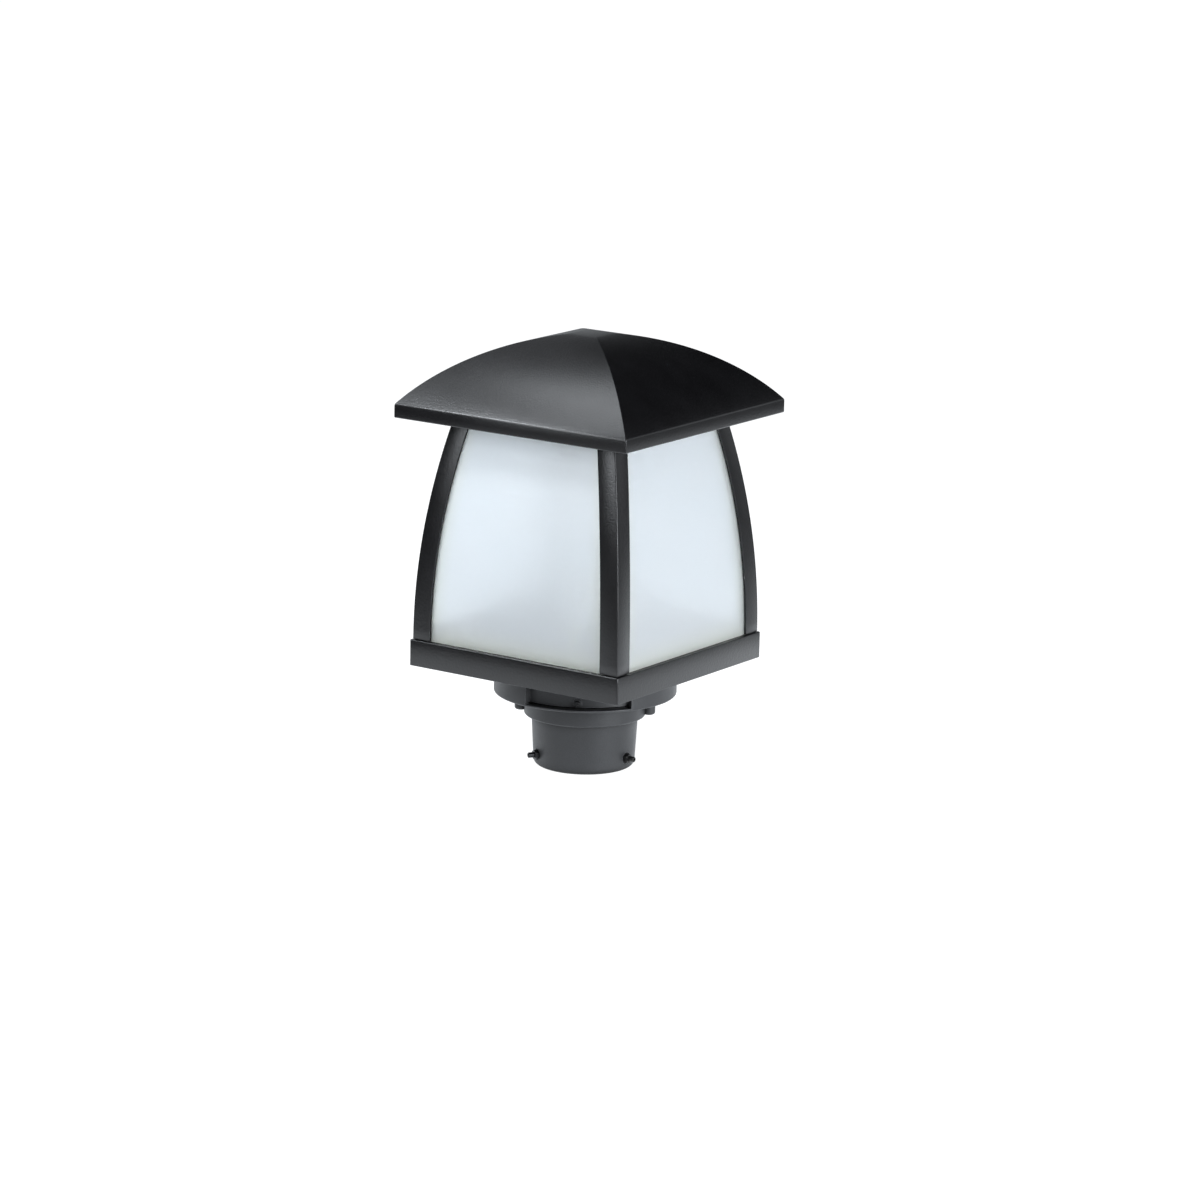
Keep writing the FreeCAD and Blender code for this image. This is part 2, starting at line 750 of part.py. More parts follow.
def make_tray():
    """Square tray, open below: a straight skirt under a plate that is the lantern's floor."""
    body = new_body("base_tray")
    sketch = sketch_on(body, "XY")
    square(sketch, "tray_half")
    pad(body, sketch, "tray_height")
    round_edges(body, "tray_corner_round", is_upright)
    top = size("tray_height")
    round_edges(body, "tray_edge_round", lambda edge: is_level(edge, top) or is_level(edge, 0))
    sketch = sketch_on(body, "XY")
    square(sketch, "tray_half - tray_wall")
    pocket(body, sketch, "tray_height - tray_plate", upward=True)
    sketch = sketch_on(body, "XY", "tray_height")
    hole = "middle_shank + screw_clearance"
    for x in ("", "-"):
        for y in ("", "-"):
            disc(sketch, hole, f"{x}post_screw_low", f"{y}post_screw_low")
        row = "strip_face - strip_screw_inset"
        for y in ("", "-"):
            disc(sketch, hole, f"{x}strip_screw_spread", f"{y}({row})")
            disc(sketch, hole, f"{x}({row})", f"{y}strip_screw_spread")
    for place in ring_places("canopy_boss_reach", "0", size("canopy_angle") + 45, 4):
        disc(sketch, hole, str(place.x), str(place.y))
    for place in bridge_places("0"):
        disc(sketch, hole, str(place.x), str(place.y))
    disc(sketch, hole, "earth_x", "earth_y")
    grommet = in_canopy("0", "grommet_reach", "0")
    disc(sketch, "grommet_radius - grommet_flange", str(grommet.x), str(grommet.y))
    pocket(body, sketch, "tray_plate")
    seat(body, z="tray_base")


# ---- corner posts and panes ----

def leaning_band(inner, outer, low, high):
    """Upright outline of a band that follows the posts' curve."""
    return [(lean(low, inner), low, "-post_curve"), (lean(low, outer), low),
            (lean(high, outer), high, "post_curve"), (lean(high, inner), high)]


def outermost(edge):
    """How far out a long upright edge runs; others count as nothing."""
    middle, box = edge.CenterOfMass, edge.BoundBox
    return middle.x + middle.y if box.ZLength > box.XLength + box.YLength else 0.0


def make_post(label, turn):
    """Curved corner post: a square core with two lips that lap over the panes."""
    low = "floor_z + post_foot_height"
    face = leaning_band("post_face", "0", low, "post_top")
    past_low, past_high = "floor_z - post_lip", "post_top + post_lip"
    behind_lip = leaning_band("post_face + post_lip", "post_lip", past_low, past_high)
    beside_core = leaning_band("post_face + post_lip", "post_block", past_low, past_high)
    core = crossed(f"{label}_core", face, face, "2 * tray_side")
    doc.recompute()
    corner = max(range(len(core.Shape.Edges)), key=lambda number: outermost(core.Shape.Edges[number]))
    rounded = doc.addObject("Part::Fillet", f"{label}_rounded")
    rounded.Base = core
    rounded.Edges = [(corner + 1, size("post_edge_round"), size("post_edge_round"))]
    tools = [crossed(f"{label}_rebate_x", beside_core, behind_lip, "2 * tray_side"),
             crossed(f"{label}_rebate_y", behind_lip, beside_core, "2 * tray_side")]
    hole = "middle_shank + screw_clearance"
    tools.append(rod(f"{label}_hole_top", hole, "post_screw_grip", "post_screw_high", "post_screw_high",
                     "post_top - post_screw_grip"))
    foot = doc.addObject("Part::Box", f"{label}_foot")
    for side in ("Length", "Width"):
        bind(foot, side, "post_block - 2 * post_foot_margin")
    bind(foot, "Height", "post_foot_height")
    start = "post_half - post_block + post_foot_margin"
    seat(foot, start, start, "floor_z")
    upright = joined(f"{label}_with_foot", [carved(f"{label}_rebated", rounded, tools), foot])
    low_hole = rod(f"{label}_hole_low", hole, "post_screw_grip", "post_screw_low", "post_screw_low",
                   "floor_z")
    post = as_node(carved(label, upright, [low_hole]), label)
    seat(post, turn=about_z(turn))


def make_pane(side, turn):
    """Frosted pane bent to the posts' curve, standing on the floor behind the posts' lips."""
    high = "post_top - pane_headroom"
    edge = "post_block + pane_gap"
    front = [(f"-{lean('floor_z', edge)}", "floor_z", "post_curve"), (lean("floor_z", edge), "floor_z"),
             (lean(high, edge), high, "post_curve"), (f"-{lean(high, edge)}", high)]
    band = leaning_band("pane_inner", "pane_outer", "floor_z", high)
    pane = as_node(crossed(f"pane_{side}", front, band, "2 * tray_side"), f"pane_{side}")
    seat(pane, turn=about_z(turn))


def make_strip(side, turn):
    """Angle strip on the floor that holds a pane's lower edge against the posts."""
    body = new_body(f"pane_strip_{side}")
    sketch = sketch_on(body, "YZ")
    trace(sketch, [("strip_face", "0"), ("strip_face", "strip_height"),
                   ("strip_face - strip_thickness", "strip_height"),
                   ("strip_face - strip_thickness", "strip_thickness"),
                   ("strip_face - strip_foot", "strip_thickness"), ("strip_face - strip_foot", "0")])
    pad(body, sketch, "strip_length", midplane=True)
    sketch = sketch_on(body, "XY", "strip_thickness")
    for x in ("", "-"):
        disc(sketch, "middle_shank + screw_clearance", f"{x}strip_screw_spread",
             "strip_face - strip_screw_inset")
    pocket(body, sketch, "strip_thickness")
    seat(body, z="floor_z", turn=about_z(turn))


def make_top_frame():
    """Plate on top of the posts, with four rims that hold the panes' top edges."""
    body = new_body("top_frame")
    sketch = sketch_on(body, "XY")
    square(sketch, "frame_side / 2")
    square(sketch, "frame_opening / 2")
    pad(body, sketch, "frame_thickness")
    reach = size("frame_side / 2")
    round_edges(body, "frame_corner_round",
                lambda edge: is_upright(edge) and abs(abs(edge.CenterOfMass.x) - reach) < LEVEL_TOLERANCE)
    sketch = sketch_on(body, "XY")
    oblong(sketch, "-rim_length / 2", "rim_face - rim_wall", "rim_length / 2", "rim_face")
    rim = pad(body, sketch, "rim_height", upward=False)
    around(body, [rim], 4, True)
    sketch = sketch_on(body, "XY", "frame_thickness")
    hole = "middle_shank + screw_clearance"
    for x in ("", "-"):
        for y in ("", "-"):
            disc(sketch, hole, f"{x}post_screw_high", f"{y}post_screw_high")
        disc(sketch, hole, f"{x}roof_screw_reach")
        disc(sketch, hole, "0", f"{x}roof_screw_reach")
    pocket(body, sketch, "frame_thickness")
    seat(body, z="post_top")


# ---- roof ----

def dome_outline(half, low, shoulder, cap_half, cap, radius):
    """Upright outline of the roof or of its hollow."""
    return [(f"-({half})", low), (half, low), (half, shoulder), (cap_half, cap, radius),
            (f"-({cap_half})", cap), (f"-({half})", shoulder, radius)]


def make_roof():
    """Square cambered roof: a shell with a straight eave band and four screw bosses inside."""
    outer = dome_outline("roof_half", "eave_base", "eave_top", "cap_half", "cap_z", "dome_radius")
    hollow = dome_outline("inner_half", "eave_base - roof_wall", "inner_eave", "inner_cap_half",
                          "inner_cap", "inner_radius")
    shell = crossed("roof_outer", outer, outer, "roof_side")
    softened = doc.addObject("Part::Fillet", "roof_rounded")
    softened.Base = shell
    doc.recompute()
    reach, low, high, round_off = (size(text) for text in ("roof_half", "eave_base", "eave_top",
                                                           "roof_edge_round"))
    picked = [number for number, edge in enumerate(shell.Shape.Edges, 1)
              if is_level(edge, low) or is_level(edge, high)
              or (is_upright(edge) and abs(abs(edge.CenterOfMass.x) - reach) < LEVEL_TOLERANCE)]
    softened.Edges = [(number, round_off, round_off) for number in picked]
    space = crossed("roof_hollow", hollow, hollow, "roof_side")
    wall = carved("roof_shell", softened, [space])
    rods, holes = [], []
    for number, place in enumerate(ring_places("roof_screw_reach", "boss_low", 0, 4)):
        at = (str(place.x), str(place.y), "boss_low")
        rods.append(rod(f"roof_boss_{number}", "roof_boss_radius", "cap_z - boss_low", *at))
        holes.append(rod(f"roof_hole_{number}", "middle_shank + screw_clearance",
                         "roof_boss_hole_depth", *at))
    half_wall = "roof_wall / 2"
    limit = dome_outline(f"roof_half - {half_wall}", "eave_base", f"eave_top - {half_wall}", "cap_half",
                         f"cap_z - {half_wall}", "dome_radius")
    bosses = doc.addObject("Part::Common", "roof_bosses")
    bosses.Base = joined("roof_boss_rods", rods)
    bosses.Tool = crossed("roof_boss_limit", limit, limit, "roof_side")
    as_node(carved("roof", joined("roof_with_bosses", [wall, bosses]), holes), "roof")


def make_roof_pads():
    """Rubber washers between the top frame and the roof's bosses."""
    washers = []
    for place in ring_places("roof_screw_reach", "frame_top", 0, 4):
        solid = Part.makeCylinder(size("pad_radius"), size("pad_thickness"), place)
        hole = Part.makeCylinder(size("middle_shank + screw_clearance"), size("pad_thickness"), place)
        washers.append(solid.cut(hole))
    pads = doc.addObject("Part::Feature", "roof_pads")
    pads.Shape = Part.makeCompound(washers)
    as_node(pads, "roof_pads")


# ---- lampholder ----

def make_bridge():
    """Hat-shaped bracket that lifts the lampholder off the floor."""
    body = new_body("holder_bridge")
    end, foot, sheet_t = "bridge_length / 2", "bridge_length / 2 - bridge_foot", "bridge_sheet"
    right = [(end, "0"), (end, sheet_t), (f"{foot} + {sheet_t}", sheet_t),
             (f"{foot} + {sheet_t}", f"bridge_rise + {sheet_t}")]
    left = [(f"-({x})", y) for x, y in reversed(right)]
    under = [(f"-({foot})", "0"), (f"-({foot})", "bridge_rise"), (foot, "bridge_rise"), (foot, "0")]
    sketch = sketch_on(body, "XZ")
    trace(sketch, right + left + under)
    pad(body, sketch, "bridge_width", midplane=True)
    sketch = sketch_on(body, "XY", "bridge_rise + bridge_sheet")
    for x in ("", "-"):
        disc(sketch, "small_shank + screw_clearance", f"{x}holder_screw_reach")
        disc(sketch, "middle_shank + screw_clearance", f"{x}(bridge_length / 2 - bridge_foot / 2)")
    pocket(body, sketch, "bridge_rise + bridge_sheet")
    seat(body, z="floor_z", turn=about_z(size("canopy_angle")))


def make_holder():
    """Lampholder body: a cup with a spring well in its floor and two entries for the leads."""
    body = new_body("lampholder_body")
    sketch = sketch_on(body, "XZ")
    trace(sketch, [("0", "0"), ("holder_radius", "0"), ("holder_radius", "holder_height - holder_round"),
                   ("holder_radius - holder_round", "holder_height", "holder_round"),
                   ("cavity_radius", "holder_height"), ("cavity_radius", "holder_base"),
                   ("well_radius", "holder_base"), ("well_radius", "well_floor"), ("0", "well_floor")])
    spin(body, sketch)
    sketch = sketch_on(body, "XY")
    for x in ("", "-"):
        disc(sketch, "small_shank + screw_clearance", f"{x}holder_screw_reach")
    pocket(body, sketch, "holder_base - well_floor", upward=True)
    entry = sketch_on(body, "XZ", "-holder_radius")
    for x in ("", "-"):
        disc(entry, "lead_radius + screw_clearance", f"{x}lead_spread", "holder_base / 2")
    pocket(body, entry, "lead_entry_depth", upward=True)
    seat(body, z="bridge_top", turn=about_z(size("canopy_angle")))


def make_shell():
    """Threaded sleeve of the lampholder, rolled in even waves."""
    body = new_body("lampholder_shell")
    turns = int(size("shell_height / thread_pitch"))
    outer, inner = [], []
    for step in range(turns):
        low = f"thread_pitch * {step}"
        outer += [("shell_outer", low), ("shell_outer + shell_crest", f"{low} + thread_pitch / 2")]
        inner += [("shell_inner", low), ("shell_inner + shell_crest", f"{low} + thread_pitch / 2")]
    top = "shell_height"
    sketch = sketch_on(body, "XZ")
    trace(sketch, outer + [("shell_outer", f"thread_pitch * {turns}"), ("shell_outer", top),
                           ("shell_inner", top), ("shell_inner", f"thread_pitch * {turns}")]
          + list(reversed(inner)))
    spin(body, sketch)
    seat(body, z="bridge_top + holder_base")


def make_contact():
    """Sprung centre contact in its well: a domed plunger on a short spring."""
    body = new_body("centre_contact")
    sketch = sketch_on(body, "XZ")
    trace(sketch, [("0", "0"), ("contact_radius", "0"), ("contact_radius", "contact_length / 2"),
                   ("contact_radius / 2", "contact_length"), ("0", "contact_length")])
    spin(body, sketch)
    seat(body, z="bridge_top + well_floor + spring_length")
    body = new_body("contact_spring")
    sketch = sketch_on(body, "XY")
    disc(sketch, "spring_radius")
    disc(sketch, "spring_radius - spring_wall")
    pad(body, sketch, "spring_length")
    seat(body, z="bridge_top + well_floor")


# ---- mains connection ----

def make_terminal():
    """Bracket on the canopy's inner seat, and a three-way block with its clamping screws."""
    body = new_body("terminal_bracket")
    sketch = sketch_on(body, "XZ", "-bracket_seat")
    oblong(sketch, "-bracket_width / 2", "canopy_floor", "bracket_width / 2",
           "canopy_floor + bracket_height")
    pad(body, sketch, "bracket_sheet")
    sketch = sketch_on(body, "XZ")
    disc(sketch, "small_shank + screw_clearance", "0", "recess_screw_height")
    for x in ("", "-"):
        disc(sketch, "small_shank + screw_clearance", f"{x}way_pitch / 2",
             "canopy_floor + block_lift + block_height / 2")
    pocket(body, sketch, "canopy_radius")
    seat(body, z="canopy_base", turn=about_z(size("canopy_angle")))

    body = new_body("terminal_block")
    sketch = sketch_on(body, "XY")
    oblong(sketch, "-block_length / 2", "block_front", "block_length / 2", "block_back")
    pad(body, sketch, "block_height")
    sketch = sketch_on(body, "XY", "block_height")
    middle = "(block_front + block_back) / 2"
    for x in WAYS:
        disc(sketch, "lead_radius + screw_clearance", x, middle)
    pocket(body, sketch, "lead_entry_depth")
    sketch = sketch_on(body, "XY")
    for x in WAYS:
        disc(sketch, "lead_radius + screw_clearance", x, middle)
    pocket(body, sketch, "lead_entry_depth", upward=True)
    sketch = sketch_on(body, "XZ", "-block_front")
    for x in ("", "-"):
        disc(sketch, "small_shank + screw_clearance", f"{x}way_pitch / 2", "block_height / 2")
    pocket(body, sketch, "block_depth", upward=False)
    clamp_depth = "(block_depth / 2 - lead_radius - screw_clearance)"
    sketch = sketch_on(body, "XZ", "-block_front")
    clamp_discs(sketch, "small_shank + screw_clearance")
    pocket(body, sketch, clamp_depth, upward=False)
    seat(body, z="block_base", turn=about_z(size("canopy_angle")))

    body = new_body("terminal_screws")
    body.AllowCompound = True
    sketch = sketch_on(body, "XZ", f"-block_front - {clamp_depth}")
    clamp_discs(sketch, "small_shank")
    pad(body, sketch, f"{clamp_depth} - cross_depth")
    seat(body, z="block_base", turn=about_z(size("canopy_angle")))


def clamp_discs(sketch, radius):
    """Draw the two clamping screws of each way."""
    for x in WAYS:
        for height in ("clamp_screw_rise", "block_height - clamp_screw_rise"):
            disc(sketch, radius, x, height)


# ---- leads, grommet and earth terminal ----

def make_grommet():
    """Rubber grommet where the leads pass through the tray's plate."""
    body = new_body("grommet")
    neck, lip = "grommet_radius - grommet_flange", "grommet_flange"
    sketch = sketch_on(body, "XZ")
    trace(sketch, [("grommet_bore", f"-{lip}"), ("grommet_radius", f"-{lip}"), ("grommet_radius", "0"),
                   (neck, "0"), (neck, "tray_plate"), ("grommet_radius", "tray_plate"),
                   ("grommet_radius", f"tray_plate + {lip} / 2"),
                   (f"grommet_radius - {lip} / 2", f"tray_plate + {lip}"),
                   ("grommet_bore", f"tray_plate + {lip}")])
    spin(body, sketch)
    place = in_canopy("0", "grommet_reach", "0")
    seat(body, x=str(place.x), y=str(place.y), z="plate_under")


def make_earth():
    """Ring tongue on the floor, its barrel standing up towards the grommet, and its screw."""
    body = new_body("earth_tongue")
    sketch = sketch_on(body, "XY")
    disc(sketch, "tongue_radius")
    pad(body, sketch, "tongue_thickness")
    sketch = sketch_on(body, "XY")
    oblong(sketch, "0", "-barrel_radius", "tongue_reach", "barrel_radius")
    pad(body, sketch, "tongue_thickness")
    sketch = sketch_on(body, "XY")
    disc(sketch, "barrel_radius", "tongue_reach")
    pad(body, sketch, "barrel_height")
    sketch = sketch_on(body, "XY", "barrel_height")
    disc(sketch, "lead_radius + screw_clearance", "tongue_reach")
    pocket(body, sketch, "barrel_height - tongue_thickness")
    sketch = sketch_on(body, "XY", "tongue_thickness")
    disc(sketch, "middle_shank + screw_clearance")
    pocket(body, sketch, "tongue_thickness")
    grommet = in_canopy("0", "grommet_reach", "0")
    angle = math.degrees(math.atan2(grommet.y - size("earth_y"), grommet.x - size("earth_x")))
    seat(body, x="earth_x", y="earth_y", z="floor_z", turn=about_z(angle))
    return body.Placement.Rotation.multVec(Vector(size("tongue_reach"), 0, 0))


def tube(label, points, radius):
    """A lead: straight runs joined by arcs as large as the runs allow."""
    edges, start, tightest = [], points[0], math.inf
    for before, corner, after in zip(points, points[1:], points[2:]):
        inward, onward = (corner - before).normalize(), (after - corner).normalize()
        turn = inward.getAngle(onward)
        reach = ARC_SHARE * min((corner - before).Length, (after - corner).Length)
        bend = reach / math.tan(turn / 2)
        tightest = min(tightest, bend)
        first, last = corner - inward * reach, corner + onward * reach
        middle = corner + (onward - inward).normalize() * (bend / math.cos(turn / 2) - bend)
        edges += [Part.LineSegment(start, first).toShape(), Part.Arc(first, middle, last).toShape()]
        start = last
    edges.append(Part.LineSegment(start, points[-1]).toShape())
    path = Part.Wire(edges)
    section = Part.Wire(Part.makeCircle(radius, points[0], points[1] - points[0]))
    lead = doc.addObject("Part::Feature", label)
    lead.Shape = path.makePipeShell([section], True, False)
    expected = math.pi * radius ** 2 * path.Length
    print(f"{label}: {path.Length:.1f} mm, tightest bend {tightest:.1f} mm, "
          f"volume against section times length {lead.Shape.Volume / expected:.4f}")
    return as_node(lead, label)


def make_leads(barrel):
    """Live and neutral to the lampholder, earth to the ring tongue."""
    radius = size("lead_radius")
    middle = "(block_front + block_back) / 2"
    entry_z, above_z = "block_top - lead_entry_depth", "block_top + lead_rise"
    under_z = "plate_under - lead_dip"
    holder_z = "bridge_top + holder_base / 2"
    inside = "holder_radius - lead_entry_depth"
    for label, way, side in (("live_lead", WAYS[0], "-"), ("neutral_lead", WAYS[1], "")):
        through = (f"{side}2 * lead_radius", "grommet_reach - lead_radius")
        entry_x = f"{side}lead_spread"
        route = [(way, middle, entry_z), (way, middle, above_z), (*through, under_z),
                 (*through, "floor_z + lead_rise"), (entry_x, "grommet_reach - lead_approach", holder_z),
                 (entry_x, inside, holder_z)]
        tube(label, [in_canopy(*place) for place in route], radius)
    through = ("0", "grommet_reach + earth_pass")
    route = [(WAYS[2], middle, entry_z), (WAYS[2], middle, above_z), (*through, under_z),
             (*through, "floor_z + earth_climb"),
             ("earth_bow_side", "grommet_reach + earth_bow", "floor_z + earth_crest")]
    points = [in_canopy(*place) for place in route]
    end = Vector(size("earth_x"), size("earth_y"), size("floor_z + tongue_thickness")) + barrel
    inward = (Vector(0, 0, end.z) - end).normalize()
    points += [end + inward * size("earth_lean") + Vector(0, 0, size("earth_turn")),
               end + Vector(0, 0, size("earth_climb")), end]
    tube("earth_lead", points, radius)


# ---- all screws ----

def make_screws():
    """Every screw group, from the holes that each one fills."""
    up = Vector(0, 0, 1)
    screw_group("roof_screws", "middle", "frame_thickness + pad_thickness + roof_screw_grip",
                ring_places("roof_screw_reach", "post_top", 0, 4), up)
    post_grip = "post_screw_grip - screw_clearance"
    screw_group("post_screws_top", "middle", f"frame_thickness + {post_grip}",
                corner_places("post_screw_high", "frame_top"))
    screw_group("post_screws_bottom", "middle", f"tray_plate + {post_grip}",
                corner_places("post_screw_low", "plate_under"), up)
    screw_group("strip_screws", "middle", "strip_thickness + tray_plate + short_screw_tail",
                strip_places("floor_z + strip_thickness"))
    screw_group("canopy_screws", "middle", "tray_plate + tray_gasket_thickness + canopy_screw_grip",
                ring_places("canopy_boss_reach", "floor_z", size("canopy_angle") + 45, 4))
    screw_group("collar_screws", "large", "canopy_floor + gasket_thickness + collar_screw_grip",
                [in_canopy(f"{side}collar_boss_reach", "0", "canopy_base + canopy_floor")
                 for side in ("", "-")])
    screw_group("bridge_screws", "middle", "bridge_sheet + tray_plate + short_screw_tail",
                bridge_places("floor_z + bridge_sheet"))
    screw_group("holder_screws", "small", "bridge_sheet + holder_base - well_floor - screw_clearance",
                [in_canopy(f"{side}holder_screw_reach", "0", "floor_z + bridge_rise")
                 for side in ("", "-")], up)
    outward_y = in_canopy("0", "1", "0")
    boss_face = "canopy_radius - recess_depth + recess_boss_rise"
    screw_group("recess_screw", "small", f"{boss_face} - bracket_seat + bracket_sheet + short_screw_tail",
                [in_canopy("0", boss_face, "canopy_base + recess_screw_height")], -outward_y)
    screw_group("block_screws", "small", "block_depth + bracket_sheet - screw_clearance",
                [in_canopy(f"{side}way_pitch / 2", "block_front", "block_base + block_height / 2")
                 for side in ("", "-")], outward_y)
    screw_group("earth_screw", "middle", "tongue_thickness + tray_plate + short_screw_tail",
                [Vector(size("earth_x"), size("earth_y"), size("floor_z + tongue_thickness"))])


# ---- the whole lantern ----

def build():
    """Make every sub-part."""
    make_collar()
    for number in range(SET_SCREWS):
        make_set_screw(f"set_screw_{number + 1}", 360 / SET_SCREWS * number)
        make_lock_nut(f"lock_nut_{number + 1}", 360 / SET_SCREWS * number)
    make_canopy()
    make_gaskets()
    make_tray()
    for label, turn in POSTS.items():
        make_post(label, turn)
    for side, turn in SIDES.items():
        make_pane(side, turn)
        make_strip(side, turn)
    make_top_frame()
    make_roof()
    make_roof_pads()
    make_bridge()
    make_holder()
    make_shell()
    make_contact()
    make_terminal()
    make_grommet()
    make_leads(make_earth())
    make_screws()


def check():
    """Stop if anything failed to build."""
    doc.recompute()
    for thing in doc.Objects:
        if "Invalid" in thing.State or "Error" in thing.State:
            raise RuntimeError(f"{thing.Label} failed: {thing.State}")
    for node in nodes:
        if node.Shape.isNull() or not node.Shape.isValid() or node.Shape.Volume <= 0:
            raise RuntimeError(f"{node.Label} is not a valid solid")


def export():
    """Write each sub-part to its own file."""
    os.makedirs("parts", exist_ok=True)
    for node in nodes:
        node.Shape.exportStep(f"parts/{node.Label}.step")


build()
check()
export()
for node in nodes:
    box = node.Shape.BoundBox
    print(f"{node.Label:22s} solids {len(node.Shape.Solids)}  volume {node.Shape.Volume:11.1f}  "
          f"z {box.ZMin:7.2f} to {box.ZMax:7.2f}")
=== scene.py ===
"""Post top lantern: the finish of every surface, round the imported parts.

Metres and degrees, +Z up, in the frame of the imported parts; the lantern's front is -Y.
"""

import logging
import math
from collections.abc import Callable, Iterable, Sequence
from dataclasses import dataclass
from enum import Enum
from itertools import pairwise

import bmesh
import bpy
from mathutils import Matrix, Vector


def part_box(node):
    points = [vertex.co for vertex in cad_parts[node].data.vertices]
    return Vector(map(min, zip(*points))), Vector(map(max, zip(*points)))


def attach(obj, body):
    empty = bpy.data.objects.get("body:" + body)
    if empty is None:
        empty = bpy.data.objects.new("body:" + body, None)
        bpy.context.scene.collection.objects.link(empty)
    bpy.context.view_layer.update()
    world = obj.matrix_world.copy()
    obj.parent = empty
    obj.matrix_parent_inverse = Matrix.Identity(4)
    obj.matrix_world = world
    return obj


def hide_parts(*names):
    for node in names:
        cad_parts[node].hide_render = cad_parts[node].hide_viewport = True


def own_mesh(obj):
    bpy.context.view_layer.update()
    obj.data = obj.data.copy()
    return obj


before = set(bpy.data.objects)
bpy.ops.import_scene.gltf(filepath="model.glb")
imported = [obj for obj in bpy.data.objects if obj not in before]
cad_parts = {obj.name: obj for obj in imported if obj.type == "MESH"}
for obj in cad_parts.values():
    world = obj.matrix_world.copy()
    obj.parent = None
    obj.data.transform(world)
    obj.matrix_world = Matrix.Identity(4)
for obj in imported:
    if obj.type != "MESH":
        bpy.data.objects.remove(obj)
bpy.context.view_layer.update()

LOG = logging.getLogger("lantern")
MM = 0.001
PHOTO_SIZE = 1181.0  # pixels, in width and height
MERGE_DISTANCE = 1e-6

Triple = tuple[float, float, float]
Colour = Triple
Level = tuple[float, float]
Item = bmesh.types.BMVert | bmesh.types.BMFace

COOL: Colour = (0.91, 0.955, 1.0)
WHITE: Colour = (1.0, 1.0, 1.0)
UP: Triple = (0.0, 0.0, 1.0)
ORIGIN: Triple = (0.0, 0.0, 0.0)
QUARTERS = (0, 90, 180, 270)

SHARP_TURN = 0.86  # cosines between the rounded and the true normal, at an edge with full painted highlight and on the flat
NO_TURN = 0.995
HIGHLIGHT_PATCH_SCALE = 70.0
LEAST_HIGHLIGHT = 0.3
CREVICE_SHUT = 0.3  # shares of open sky, at the bottom of a crevice and at its mouth, where the painted shade is full and where it ends
CREVICE_OPEN = 0.92


class Slot(Enum):
    """The record's material slots."""

    COAT = "powder_coat"
    GLASS = "frosted_glass"
    BLACK_STEEL = "black_steel"
    ZINC_STEEL = "zinc_steel"
    RUBBER = "rubber"
    CERAMIC = "ceramic"
    BRASS = "brass"
    SPRING = "spring_steel"
    TERMINAL = "terminal_plastic"
    LIVE = "lead_brown"
    NEUTRAL = "lead_blue"
    EARTH = "lead_green_yellow"


class Body(Enum):
    """The bodies that pieces ride on."""

    LANTERN = "lantern"
    ROOF = "roof"


# ---- shader graphs ----

class Graph:
    """A small writer for one node tree."""

    def __init__(self, tree: bpy.types.NodeTree) -> None:
        """Start on a tree, emptied."""
        self.tree = tree
        tree.nodes.clear()

    def node(self, kind: str, inputs: dict[str | int, object] | None = None,
             **settings: object) -> bpy.types.Node:
        """Add a node.

        Args:
            kind: Blender's name of the node type, without the leading "ShaderNode".
            inputs: values or output sockets for the node's inputs, by name or index.
            settings: properties of the node.

        Returns:
            The new node.
        """
        prefix = "" if kind.startswith("NodeGroup") else "ShaderNode"
        made = self.tree.nodes.new(prefix + kind)
        for name, value in settings.items():
            setattr(made, name, value)
        for name, value in (inputs or {}).items():
            socket = made.inputs[name]
            if isinstance(value, bpy.types.NodeSocket):
                self.tree.links.new(value, socket)
            else:
                socket.default_value = value
        return made

    def noise(self, vector: bpy.types.NodeSocket, scale: object, detail: float = 3.0,
              roughness: float = 0.5) -> bpy.types.NodeSocket:
        """Return the value of a noise texture."""
        return self.node("TexNoise", {"Vector": vector, "Scale": scale, "Detail": detail,
                                      "Roughness": roughness}).outputs[0]

    def maths(self, operation: str, *values: object) -> bpy.types.NodeSocket:
        """Return the result of a Math node."""
        return self.node("Math", dict(enumerate(values)), operation=operation).outputs[0]

    def spread(self, value: bpy.types.NodeSocket, low: float, high: float,
               start: float = 0.0, end: float = 1.0) -> bpy.types.NodeSocket:
        """Return a value mapped from one range to another, held at its ends."""
        return self.node("MapRange", {"Value": value, "From Min": start, "From Max": end,
                                      "To Min": low, "To Max": high}).outputs[0]

    def blend(self, share: object, first: object, second: object) -> bpy.types.NodeSocket:
        """Return a mix of two colours."""
        return self.node("Mix", {0: share, 6: first, 7: second}, data_type="RGBA").outputs[2]

    def between(self, share: object, first: object, second: object) -> bpy.types.NodeSocket:
        """Return a mix of two numbers."""
        return self.node("Mix", {0: share, 2: first, 3: second}).outputs[0]


def rgba(colour: Colour) -> tuple[float, float, float, float]:
    """Return a colour with full alpha."""
    return (*colour, 1.0)


def socket_name(word: str) -> str:
    """Return the name of the node input that a keyword stands for."""
    return word.replace("_", " ").title()


def new_material(name: str) -> tuple[bpy.types.Material, Graph]:
    """Start a material.

    Args:
        name: the material's name.

    Returns:
        The material and its writer.
    """
    made = bpy.data.materials.new(name)
    made.use_nodes = True
    return made, Graph(made.node_tree)


def new_group(name: str, inputs: dict[str, float],
              outputs: Iterable[str]) -> tuple[bpy.types.NodeTree, Graph]:
    """Start a shader node group whose sockets are all numbers.

    Args:
        name: the group's name.
        inputs: the inputs and their default values.
        outputs: the outputs.

    Returns:
        The tree and its writer.
    """
    tree = bpy.data.node_groups.new(name, "ShaderNodeTree")
    for word, value in inputs.items():
        socket = tree.interface.new_socket(word, in_out="INPUT", socket_type="NodeSocketFloat")
        socket.default_value = value
    for word in outputs:
        tree.interface.new_socket(word, in_out="OUTPUT", socket_type="NodeSocketFloat")
    return tree, Graph(tree)


